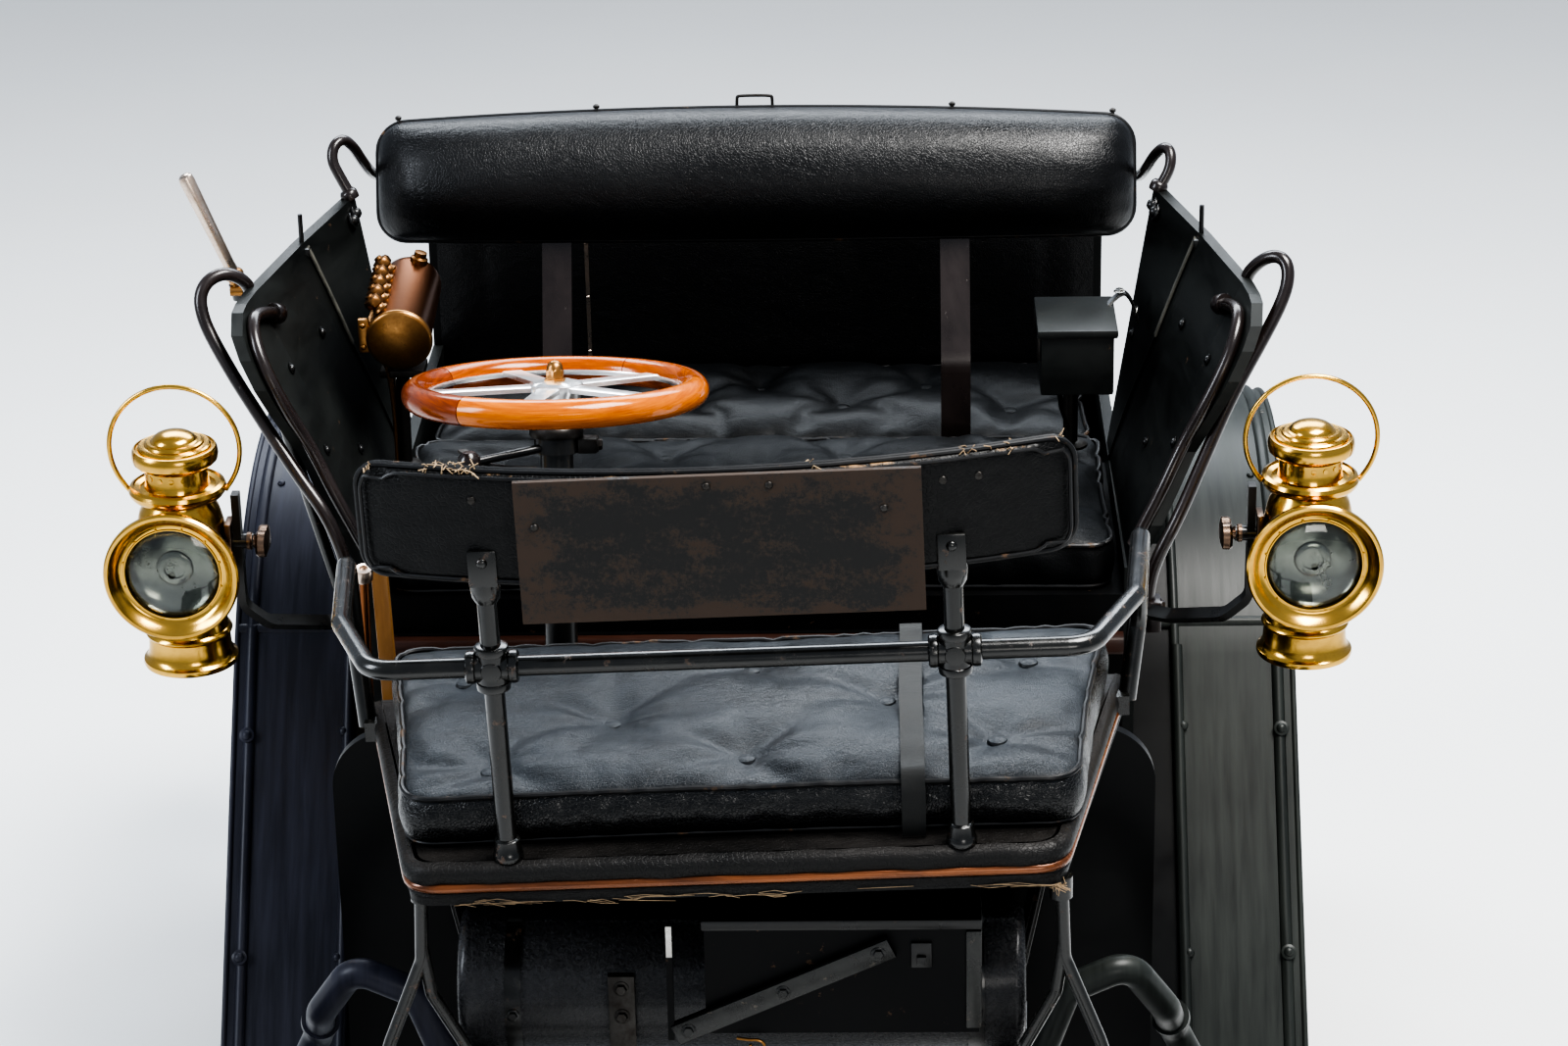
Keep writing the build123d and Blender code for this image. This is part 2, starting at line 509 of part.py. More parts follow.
with BuildPart() as tie:
    y, z = FRONT_AXLE_Y + ARM_LEN, FRONT_R - 62
    rod((-KINGPIN_X, y, z), (KINGPIN_X, y, z), 9)
    for s in (-1, 1):
        rod((s * KINGPIN_X, y, z - 10), (s * KINGPIN_X, y, z + 10.5), 15)
        rod((s * KINGPIN_X, y, z), (s * KINGPIN_X, y, FRONT_R - 32), 6)
keep(tie, "tie_rod")

# ---- wheels --------------------------------------------------------------
WHEELS = (
    # label, side, axle y, outer radius, bore, spokes
    ("front_left", 1, FRONT_AXLE_Y, FRONT_R, 13.3, 10),
    ("front_right", -1, FRONT_AXLE_Y, FRONT_R, 13.3, 10),
    ("rear_left", 1, REAR_AXLE_Y, REAR_R, 15.3, 12),
    ("rear_right", -1, REAR_AXLE_Y, REAR_R, 15.3, 12),
)
for label, s, y, R, bore, n in WHEELS:
    xc = s * WHEEL_X
    axis = Axis((0, y, R), (1, 0, 0))
    with BuildPart() as wheel:
        with BuildSketch(Plane.XZ.offset(-y)) as rim:
            with Locations((xc, R + R - 76)):
                Rectangle(44, 44)
            with Locations((xc, R + R - TYRE_R)):
                Circle(TYRE_R + GAP, mode=Mode.SUBTRACT)
        revolve(rim.sketch, axis=axis)
        rod((xc - 36, y, R), (xc + 36, y, R), 36)
        rod((xc - 18, y, R), (xc - 10, y, R), 62)
        rod((xc + 10, y, R), (xc + 18, y, R), 62)
        for k in range(n):
            t = 2 * pi * (k + 0.5) / n
            d = Vector(0, sin(t), cos(t))
            c = Vector(xc, y, R)
            mid = (30 + R - 96) / 2
            with Locations(Plane(origin=c + d * mid, x_dir=(1, 0, 0), z_dir=d).location):
                Cone(15, 11, R - 96 - 30 + 4)
        rod((xc + s * 35, y, R), (xc + s * 76, y, R), 30)
        rod((xc - 40, y, R), (xc + 40, y, R), bore, Mode.SUBTRACT)
        rod((xc + s * 30, y, R), (xc + s * 68, y, R), bore + 5, Mode.SUBTRACT)
    keep(wheel, "wheel_" + label)
    with BuildPart() as tyre:
        with BuildSketch(Plane.XZ.offset(-y)) as sec:
            with Locations((xc, R + R - TYRE_R)):
                Circle(TYRE_R)
        revolve(sec.sketch, axis=axis)
    keep(tyre, "tyre_" + label)

print(len(made), "pieces")
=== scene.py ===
import bpy, bmesh, math, random
import numpy as np
from mathutils import Vector, Matrix, noise
from mathutils.bvhtree import BVHTree


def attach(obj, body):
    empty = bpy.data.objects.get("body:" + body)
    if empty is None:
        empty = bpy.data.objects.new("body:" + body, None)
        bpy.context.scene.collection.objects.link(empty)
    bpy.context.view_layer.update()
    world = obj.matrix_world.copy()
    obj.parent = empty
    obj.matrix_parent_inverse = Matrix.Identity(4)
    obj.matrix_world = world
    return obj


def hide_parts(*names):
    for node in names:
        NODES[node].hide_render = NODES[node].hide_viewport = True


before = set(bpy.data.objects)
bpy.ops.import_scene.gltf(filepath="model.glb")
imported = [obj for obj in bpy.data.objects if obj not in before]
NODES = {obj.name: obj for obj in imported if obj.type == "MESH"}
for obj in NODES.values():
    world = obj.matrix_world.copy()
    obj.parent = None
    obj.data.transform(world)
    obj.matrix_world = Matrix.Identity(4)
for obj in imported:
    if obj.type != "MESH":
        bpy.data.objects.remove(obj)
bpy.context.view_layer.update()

PI = math.pi


# ---------------------------------------------------------------- camera, light, floor
def camera():
    cam = bpy.data.cameras.new("camera")
    ob = bpy.data.objects.new("camera", cam)
    bpy.context.scene.collection.objects.link(ob)
    cam.sensor_width = 36.0
    cam.lens = 4000.0 / 1600.0 * 36.0
    right = Vector((0.99961, 0.0214, -0.01793))
    up = Vector((0.00832, 0.38492, 0.92291))
    fwd = Vector((-0.02665, 0.9227, -0.38459))
    m = Matrix((right, up, -fwd)).transposed().to_4x4()
    m.translation = Vector((0.1686, -4.3743, 2.8448))
    ob.matrix_world = m
    cam.clip_end = 100
    bpy.context.scene.camera = ob


def lights():
    w = bpy.data.worlds.new("studio")
    bpy.context.scene.world = w
    w.use_nodes = True
    w.node_tree.nodes["Background"].inputs[0].default_value = (0.80, 0.88, 1.0, 1)
    w.node_tree.nodes["Background"].inputs[1].default_value = 0.34
    rows = (
        # name, place, aim, size x, size y, power, colour
        ("key", (1.6, -0.9, 4.8), (0, -0.1, 0.9), 2.4, 1.8, 190, (1.0, 0.98, 0.95)),
        ("fill", (-3.8, -1.6, 3.0), (0, 0, 1.0), 1.2, 2.2, 60, (0.88, 0.93, 1.0)),
        ("front", (1.2, -5.0, 2.2), (0, 0, 1.0), 1.6, 1.2, 22, (1.0, 0.96, 0.9)),
        ("sky", (0.0, 3.2, 4.2), (0, -0.2, 0.9), 5.0, 2.0, 130, (0.90, 0.95, 1.0)),
    )
    for name, loc, aim, sx, sy, power, colour in rows:
        l = bpy.data.lights.new(name, "AREA")
        l.energy = power
        l.shape = "RECTANGLE"
        l.size, l.size_y = sx, sy
        l.color = colour
        o = bpy.data.objects.new(name, l)
        bpy.context.scene.collection.objects.link(o)
        o.location = loc
        o.rotation_euler = (Vector(aim) - Vector(loc)).to_track_quat("-Z", "Y").to_euler()
    bpy.context.scene.view_settings.view_transform = "AgX"
    bpy.context.scene.view_settings.look = "AgX - Very High Contrast"
    bpy.context.scene.view_settings.exposure = 0.55


# ---------------------------------------------------------------- materials
class Mat:
    def __init__(self, name, rough=0.5, metallic=0.0, color=(0.5, 0.5, 0.5), **more):
        self.m = bpy.data.materials.new(name)
        self.m.use_nodes = True
        self.nt = self.m.node_tree
        self.b = self.nt.nodes["Principled BSDF"]
        self.set("Roughness", rough)
        self.set("Metallic", metallic)
        self.b.inputs["Base Color"].default_value = (*color, 1)
        for k, v in more.items():
            self.set(k.replace("_", " "), v)
        self.co = self.nt.nodes.new("ShaderNodeTexCoord").outputs["Object"]
        self.geo = self.nt.nodes.new("ShaderNodeNewGeometry")

    def set(self, socket, v):
        self.b.inputs[socket].default_value = v

    def put(self, socket, out):
        self.nt.links.new(out, self.b.inputs[socket])

    def new(self, kind, **props):
        n = self.nt.nodes.new(kind)
        for k, v in props.items():
            setattr(n, k, v)
        return n

    def plug(self, sock, v):
        if isinstance(v, bpy.types.NodeSocket):
            self.nt.links.new(v, sock)
        elif isinstance(v, tuple) and len(v) == 3 and sock.type == "RGBA":
            sock.default_value = (*v, 1)
        else:
            sock.default_value = v

    def scaled(self, s, rot=(0, 0, 0), vec=None):
        n = self.new("ShaderNodeMapping")
        self.plug(n.inputs["Vector"], vec or self.co)
        n.inputs["Scale"].default_value = s
        n.inputs["Rotation"].default_value = rot
        return n.outputs["Vector"]

    def noise(self, scale, detail=4.0, rough=0.55, vec=None, distortion=0.0):
        n = self.new("ShaderNodeTexNoise")
        self.plug(n.inputs["Vector"], vec or self.co)
        n.inputs["Scale"].default_value = scale
        n.inputs["Detail"].default_value = detail
        n.inputs["Roughness"].default_value = rough
        n.inputs["Distortion"].default_value = distortion
        return n.outputs["Fac"]

    def voronoi(self, scale, feature="F1", vec=None, rnd=1.0):
        n = self.new("ShaderNodeTexVoronoi", feature=feature)
        self.plug(n.inputs["Vector"], vec or self.co)
        n.inputs["Scale"].default_value = scale
        n.inputs["Randomness"].default_value = rnd
        return n.outputs["Distance"]

    def wave(self, scale, distortion=2.0, detail=2.0, dscale=1.0, axis="X", vec=None, kind="BANDS"):
        n = self.new("ShaderNodeTexWave", wave_type=kind)
        if kind == "BANDS":
            n.bands_direction = axis
        else:
            n.rings_direction = axis
        self.plug(n.inputs["Vector"], vec or self.co)
        n.inputs["Scale"].default_value = scale
        n.inputs["Distortion"].default_value = distortion
        n.inputs["Detail"].default_value = detail
        n.inputs["Detail Scale"].default_value = dscale
        return n.outputs["Fac"]

    def axis(self, i, vec=None):
        n = self.new("ShaderNodeSeparateXYZ")
        self.plug(n.inputs[0], vec or self.co)
        return n.outputs[i]

    def ramp(self, fac, *stops):
        n = self.new("ShaderNodeValToRGB")
        self.plug(n.inputs[0], fac)
        e = n.color_ramp.elements
        while len(e) < len(stops):
            e.new(0.5)
        for k, (p, c) in enumerate(stops):
            e[k].position = p
            e[k].color = (c, c, c, 1) if isinstance(c, (int, float)) else (*c, 1)
        return n.outputs["Color"]

    def mix(self, fac, a, b, blend="MIX"):
        n = self.new("ShaderNodeMix", data_type="RGBA", blend_type=blend)
        self.plug(n.inputs[0], fac)
        self.plug(n.inputs[6], a)
        self.plug(n.inputs[7], b)
        return n.outputs[2]

    def math(self, op, a, b=0.0, clamp=False):
        n = self.new("ShaderNodeMath", operation=op, use_clamp=clamp)
        self.plug(n.inputs[0], a)
        self.plug(n.inputs[1], b)
        return n.outputs[0]

    def rng(self, v, a, b, c=0.0, d=1.0):
        n = self.new("ShaderNodeMapRange")
        for k, x in enumerate((v, a, b, c, d)):
            self.plug(n.inputs[k], x)
        return n.outputs[0]

    def up(self):
        return self.axis(2, self.geo.outputs["Normal"])

    def bump(self, height, strength=0.3, dist=0.002):
        n = self.new("ShaderNodeBump")
        n.inputs["Strength"].default_value = strength
        n.inputs["Distance"].default_value = dist
        self.plug(n.inputs["Height"], height)
        old = self.b.inputs["Normal"]
        if old.is_linked:
            self.plug(n.inputs["Normal"], old.links[0].from_socket)
        self.put("Normal", n.outputs["Normal"])


def leather(name, dark=(0.010, 0.011, 0.013), worn_and_sheen=(0.045, 0.052, 0.06), rough=(0.34, 0.6), crackle=260.0, wear=0.5, bump=0.35, stretch=(1, 1, 1), spec=0.35):
    m = Mat(name, Coat_Weight=0.06, Coat_Roughness=0.3, Specular_IOR_Level=spec)
    big = m.noise(5.0, 5, 0.6, m.scaled(stretch), 0.4)
    fine = m.noise(46.0, 6, 0.65)
    grain = m.voronoi(crackle, "DISTANCE_TO_EDGE")
    # faces that look up get more of the light worn colour: partly dust and wear, partly painted sky sheen; vertical
    # faces keep the dark colour as painted shade
    top = m.rng(m.up(), 0.25, 0.95)
    tone = m.math("ADD", m.math("MULTIPLY", big, 0.9), m.math("MULTIPLY", fine, 0.35))
    wear_and_sheen_amount = m.math("MULTIPLY", m.rng(tone, 0.42, 0.85), m.math("ADD", m.math("MULTIPLY", top, 0.95), 0.05), True)
    col = m.mix(m.math("MULTIPLY", wear_and_sheen_amount, min(1.0, wear * 2)), dark, worn_and_sheen)
    scuff = m.rng(m.noise(90.0, 8, 0.75, m.scaled((1.0, 0.35, 1.0))), 0.68, 0.78)
    col = m.mix(m.math("MULTIPLY", scuff, 0.35 * wear), col, (0.16, 0.14, 0.12))
    m.put("Base Color", col)
    m.put("Roughness", m.rng(tone, 0.3, 1.0, rough[0], rough[1]))
    m.bump(m.rng(grain, 0.0, 0.12), bump, 0.0005)
    m.bump(m.noise(26.0, 5, 0.6, m.scaled((1.0, 2.2, 1.4)), 1.2), bump * 0.8, 0.004)
    return m.m


def painted(name, dark, light, rough=(0.25, 0.5), streak=(1, 1, 1), scale=14.0, coat=0.3, metal=0.0, chip=0.0, chipc=(0.12, 0.07, 0.04), bump=0.05, spec=0.5):
    m = Mat(name, metallic=metal, Coat_Weight=coat, Coat_Roughness=0.22, Specular_IOR_Level=spec)
    a = m.noise(scale, 7, 0.62, m.scaled(streak), 0.3)
    b = m.noise(3.2, 4, 0.5)
    t = m.math("ADD", m.math("MULTIPLY", a, 0.7), m.math("MULTIPLY", b, 0.5))
    col = m.mix(m.rng(t, 0.4, 0.85), dark, light)
    if chip:
        c = m.rng(m.noise(60.0, 9, 0.72), 0.66 - 0.1 * chip, 0.70 - 0.1 * chip)
        col = m.mix(m.math("MULTIPLY", c, 0.8), col, chipc)
        m.bump(m.math("MULTIPLY", c, -1.0), 0.3, 0.0006)
    m.put("Base Color", col)
    m.put("Roughness", m.rng(a, 0.3, 0.75, rough[0], rough[1]))
    m.bump(m.noise(scale * 9, 6, 0.7, m.scaled(streak)), bump, 0.001)
    return m.m


def metal(name, color, dull, rough=(0.12, 0.32), tarnish=0.5, scale=18.0, bump=0.03):
    m = Mat(name, metallic=1.0)
    a = m.noise(scale, 7, 0.65, None, 0.5)
    b = m.noise(scale * 7, 6, 0.7)
    t = m.math("ADD", m.math("MULTIPLY", a, 0.75), m.math("MULTIPLY", b, 0.3))
    m.put("Base Color", m.mix(m.math("MULTIPLY", m.rng(t, 0.45, 0.8), tarnish), color, dull))
    m.put("Roughness", m.rng(t, 0.35, 0.8, rough[0], rough[1]))
    m.bump(b, bump, 0.001)
    return m.m


def wood(name, light, dark, grain=(1, 1, 14), rough=(0.18, 0.3), coat=0.8, scale=9.0, bump=0.04):
    m = Mat(name, Coat_Weight=coat, Coat_Roughness=0.08)
    v = m.scaled(grain)
    g = m.noise(scale, 8, 0.62, v, 0.8)
    f = m.noise(scale * 6, 5, 0.7, v)
    t = m.math("ADD", m.math("MULTIPLY", g, 0.8), m.math("MULTIPLY", f, 0.3))
    m.put("Base Color", m.mix(m.rng(t, 0.35, 0.78), dark, light))
    m.put("Roughness", m.rng(f, 0.3, 0.8, rough[0], rough[1]))
    m.bump(f, bump, 0.001)
    return m.m


def plate_material():
    m = Mat("plate_black", Coat_Weight=0.05)
    n1 = m.noise(170.0, 12, 0.9)
    n2 = m.noise(16.0, 6, 0.65, m.scaled((1.0, 1, 2.0)))
    x, z = m.axis(0), m.axis(2)
    ex = m.rng(m.math("ABSOLUTE", m.math("SUBTRACT", x, 0.002)), 0.140, 0.203)
    ez = m.rng(m.math("ABSOLUTE", m.math("SUBTRACT", z, 1.333)), 0.048, 0.080)
    edge = m.math("MAXIMUM", ex, ez)
    t = m.math("ADD", m.math("ADD", m.math("MULTIPLY", n1, 0.75), m.math("MULTIPLY", n2, 0.45)), m.math("MULTIPLY", edge, 0.12))
    w = m.rng(t, 0.62, 0.68)
    m.put("Base Color", m.mix(w, (0.0040, 0.0035, 0.003), (0.048, 0.031, 0.021)))
    m.put("Roughness", m.rng(w, 0, 1, 0.42, 0.8))
    m.bump(w, 0.25, 0.0006)
    return m.m


def piping_material():
    m = Mat("piping_worn", Coat_Weight=0.1, Coat_Roughness=0.3)
    n = m.noise(30.0, 8, 0.7)
    n2 = m.noise(150.0, 4, 0.7)
    t = m.math("ADD", m.math("MULTIPLY", n, 0.85), m.math("MULTIPLY", n2, 0.22))
    w = m.rng(t, 0.62, 0.68)
    m.put("Base Color", m.mix(w, (0.006, 0.006, 0.0065), (0.11, 0.062, 0.032)))
    m.put("Roughness", m.rng(w, 0, 1, 0.42, 0.85))
    m.bump(n2, 0.2, 0.001)
    return m.m


def board_material():
    m = Mat("board_leather", Coat_Weight=0.1, Coat_Roughness=0.3, Specular_IOR_Level=0.3)
    crack = m.rng(m.voronoi(170.0, "DISTANCE_TO_EDGE", m.scaled((1, 1, 1.3))), 0.0, 0.16)
    n = m.noise(40.0, 8, 0.7)
    top = m.rng(m.up(), 0.35, 0.8)
    t = m.math("ADD", m.math("MULTIPLY", m.noise(24.0, 6, 0.6, m.scaled((1, 1, 3))), 0.8), m.math("MULTIPLY", n, 0.25))
    wear = m.math("MULTIPLY", m.rng(t, 0.58, 0.66), top)
    speck = m.rng(m.noise(120.0, 5, 0.7), 0.62, 0.72)
    col = m.mix(m.math("MULTIPLY", speck, 0.35), (0.0055, 0.0055, 0.0055), (0.035, 0.030, 0.026))
    col = m.mix(wear, col, (0.36, 0.22, 0.11))
    m.put("Base Color", col)
    m.put("Roughness", m.rng(n, 0.3, 0.8, 0.32, 0.7))
    m.bump(crack, 0.5, 0.0007)
    m.bump(m.noise(70.0, 7, 0.7), 0.25, 0.0015)
    return m.m


def tread_material():
    m = Mat("tyre_rubber", Coat_Weight=0.0)
    x = m.axis(0)
    n = m.noise(30.0, 6, 0.6)
    dust = m.rng(m.noise(9.0, 5, 0.6), 0.4, 0.75)
    m.put("Base Color", m.mix(dust, (0.013, 0.013, 0.014), (0.050, 0.046, 0.040)))
    m.put("Roughness", m.rng(n, 0.2, 0.8, 0.62, 0.9))
    m.bump(m.wave(95.0, 0.0, 0, 1.0, "X"), 0.5, 0.002)
    m.bump(n, 0.2, 0.002)
    return m.m


def glass_material():
    m = Mat("lamp_glass", rough=0.03, color=(0.86, 0.9, 0.88), Transmission_Weight=1.0, IOR=1.45)
    m.put("Roughness", m.rng(m.noise(35.0, 5, 0.6), 0.45, 0.8, 0.02, 0.14))
    return m.m


def wood_rim(name, light, dark):
    # grain runs round the rim
    m = Mat(name, Coat_Weight=0.45, Coat_Roughness=0.09, Specular_IOR_Level=0.3)
    v = m.scaled((3.0, 3.0, 60.0))
    g = m.noise(7.0, 8, 0.6, v, 0.5)
    f = m.noise(60.0, 5, 0.7, m.scaled((1, 1, 6)))
    t = m.math("ADD", m.math("MULTIPLY", g, 0.75), m.math("MULTIPLY", f, 0.3))
    m.put("Base Color", m.mix(m.rng(t, 0.36, 0.74), dark, light))
    m.put("Roughness", m.rng(f, 0.3, 0.8, 0.16, 0.30))
    m.bump(f, 0.03, 0.0008)
    return m.m


def floor_material():
    m = Mat("floor")
    n = m.noise(1.2, 4, 0.5)
    m.put("Base Color", m.mix(n, (0.80, 0.80, 0.79), (0.86, 0.86, 0.84)))
    m.put("Roughness", m.rng(n, 0, 1, 0.7, 0.85))
    return m.m


# ---------------------------------------------------------------- mesh helpers
ASKEW = Matrix.Translation((0, 0, 1.190)) @ Matrix.Rotation(math.radians(-1.8), 4, "Y") @ Matrix.Translation((0, 0, -1.190))
PLACE = [None]


def finish_mesh(name, bm, mat, body, sharp=38.0):
    if PLACE[0] is not None:
        bm.transform(PLACE[0])
    bmesh.ops.recalc_face_normals(bm, faces=bm.faces)
    lim = math.radians(sharp)
    for f in bm.faces:
        f.smooth = True
    for e in bm.edges:
        e.smooth = not (len(e.link_faces) == 2 and e.calc_face_angle(0.0) > lim)
    me = bpy.data.meshes.new(name)
    bm.to_mesh(me)
    bm.free()
    ob = bpy.data.objects.new(name, me)
    bpy.context.scene.collection.objects.link(ob)
    for mm in (mat if isinstance(mat, (list, tuple)) else [mat]):
        me.materials.append(mm)
    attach(ob, body)
    return ob


def frame_of(axis, hint=(0, 0, 1)):
    z = Vector(axis).normalized()
    h = Vector(hint)
    if abs(z.dot(h.normalized())) > 0.97:
        h = Vector((1, 0, 0)) if abs(z.x) < 0.9 else Vector((0, 1, 0))
    x = h.cross(z).normalized()
    return x, z.cross(x), z


def add_lathe(bm, profile, origin, axis, segs=48, lobes=None, mi=0):
    x, y, z = frame_of(axis)
    o = Vector(origin)
    rings = []
    for r, h in profile:
        if r < 1e-6:
            rings.append([bm.verts.new(o + z * h)])
            continue
        ring = []
        for k in range(segs):
            t = 2 * PI * k / segs
            rr = r * (lobes(t, h) if lobes else 1.0)
            ring.append(bm.verts.new(o + x * rr * math.cos(t) + y * rr * math.sin(t) + z * h))
        rings.append(ring)
    for a, b in zip(rings, rings[1:]):
        n = max(len(a), len(b))
        if n == 1:
            continue
        for k in range(n):
            k2 = (k + 1) % n
            quad = [a[k % len(a)], a[k2 % len(a)], b[k2 % len(b)], b[k % len(b)]]
            if len(a) == 1:
                quad = [a[0], b[k2], b[k]]
            elif len(b) == 1:
                quad = [a[k], a[k2], b[0]]
            f = bm.faces.new(quad)
            f.material_index = mi


def lathe(name, profile, origin, axis, mat, body, slot, segs=48, lobes=None):
    bm = bmesh.new()
    add_lathe(bm, profile, origin, axis, segs, lobes)
    return finish_mesh(name, bm, mat, body)


def add_box(bm, c, size, axes=None, bevel=0.0015, mi=0):
    ax = axes or (Vector((1, 0, 0)), Vector((0, 1, 0)), Vector((0, 0, 1)))
    before = set(bm.verts)
    r = bmesh.ops.create_cube(bm, size=1.0)
    for v in r["verts"]:
        p = v.co.copy()
        v.co = Vector(c) + ax[0] * p.x * size[0] + ax[1] * p.y * size[1] + ax[2] * p.z * size[2]
    if bevel:
        edges = list({e for v in r["verts"] for e in v.link_edges})
        bmesh.ops.bevel(bm, geom=edges, offset=bevel, segments=2, affect="EDGES", profile=0.6)
    for v in set(bm.verts) - before:
        for f in v.link_faces:
            f.material_index = mi


def smooth_path(pts, res=8, cyclic=False):
    cu = bpy.data.curves.new("path", "CURVE")
    cu.dimensions = "3D"
    cu.resolution_u = res
    sp = cu.splines.new("NURBS")
    sp.points.add(len(pts) - 1)
    for p, q in zip(sp.points, pts):
        p.co = (*q, 1)
    sp.order_u = 3
    sp.use_cyclic_u = cyclic
    sp.use_endpoint_u = not cyclic
    ob = bpy.data.objects.new("path", cu)
    bpy.context.scene.collection.objects.link(ob)
    me = bpy.data.meshes.new_from_object(ob)
    out = [v.co.copy() for v in me.vertices]
    bpy.data.objects.remove(ob)
    bpy.data.meshes.remove(me)
    return out


def add_tube(bm, pts, r, segs=10, cyclic=False, caps=True, flat=None, up=None, mi=0):
    """tube or flat strip along points; r may be a function of the share of the length"""
    n = len(pts)
    pts = [Vector(p) for p in pts]
    tang = []
    for i in range(n):
        a = pts[(i - 1) % n] if (cyclic or i > 0) else pts[i]
        b = pts[(i + 1) % n] if (cyclic or i < n - 1) else pts[i]
        d = b - a
        tang.append(d.normalized() if d.length > 1e-9 else Vector((0, 0, 1)))
    x, y, _ = frame_of(tang[0], up or (0, 0, 1))
    rings = []
    for i in range(n):
        t = tang[i]
        if up is not None:
            u = Vector(up)
            x = u.cross(t)
            x = x.normalized() if x.length > 1e-6 else frame_of(t)[0]
        else:
            x = (x - t * x.dot(t))
            x = x.normalized() if x.length > 1e-6 else frame_of(t)[0]
        y = t.cross(x)
        rr = r(i / max(1, n - 1)) if callable(r) else r
        ring = []
        if flat:
            w, h = flat
            prof = [(-w, -h * 0.6), (-w * 0.92, -h), (w * 0.92, -h), (w, -h * 0.6), (w, h * 0.6), (w * 0.92, h), (-w * 0.92, h), (-w, h * 0.6)]
            for px, py in prof:
                ring.append(bm.verts.new(pts[i] + x * px + y * py))
        else:
            for k in range(segs):
                a = 2 * PI * k / segs
                ring.append(bm.verts.new(pts[i] + x * rr * math.cos(a) + y * rr * math.sin(a)))
        rings.append(ring)
    m = len(rings[0])
    last = n if cyclic else n - 1
    for i in range(last):
        a, b = rings[i], rings[(i + 1) % n]
        for k in range(m):
            f = bm.faces.new([a[k], a[(k + 1) % m], b[(k + 1) % m], b[k]])
            f.material_index = mi
    if caps and not cyclic:
        f = bm.faces.new(rings[0][::-1])
        f.material_index = mi
        f = bm.faces.new(rings[-1])
        f.material_index = mi


def tube(name, pts, r, mat, body, slot, segs=12, res=8, cyclic=False, flat=None, up=None, smooth=True):
    bm = bmesh.new()
    p = smooth_path(pts, res, cyclic) if smooth else pts
    add_tube(bm, p, r, segs, cyclic, True, flat, up)
    return finish_mesh(name, bm, mat, body)


def add_bolt(bm, at, axis, r=0.006, h=0.004, kind="hex", washer=True, mi=0):
    o = Vector(at)
    if washer:
        add_lathe(bm, [(0, 0), (r * 1.5, 0), (r * 1.5, h * 0.22), (r * 1.4, h * 0.3), (0, h * 0.3)], o, axis, 20, mi=mi)
    if kind == "hex":
        def lob(t, hh):
            k = (t % (PI / 3)) - PI / 6
            return math.cos(PI / 6) / math.cos(k)
        add_lathe(bm, [(0, 0), (r * 1.1, 0), (r * 1.1, h * 0.8), (r * 0.95, h), (0, h)], o, axis, 24, lob, mi)
    elif kind == "dome":
        add_lathe(bm, [(0, 0), (r, 0), (r, h * 0.25), (r * 0.86, h * 0.62), (r * 0.5, h * 0.92), (0, h)], o, axis, 18, None, mi)
    else:  # slotted screw head, the slot a shallow bar
        add_lathe(bm, [(0, 0), (r, 0), (r * 0.98, h * 0.5), (r * 0.8, h * 0.9), (0, h)], o, axis, 16, None, mi)
        x, y, z = frame_of(axis)
        add_box(bm, o + z * h * 0.95, (r * 1.6, r * 0.24, h * 0.25), (x, y, z), 0, mi)


# ---------------------------------------------------------------- materials made once
MB = {}


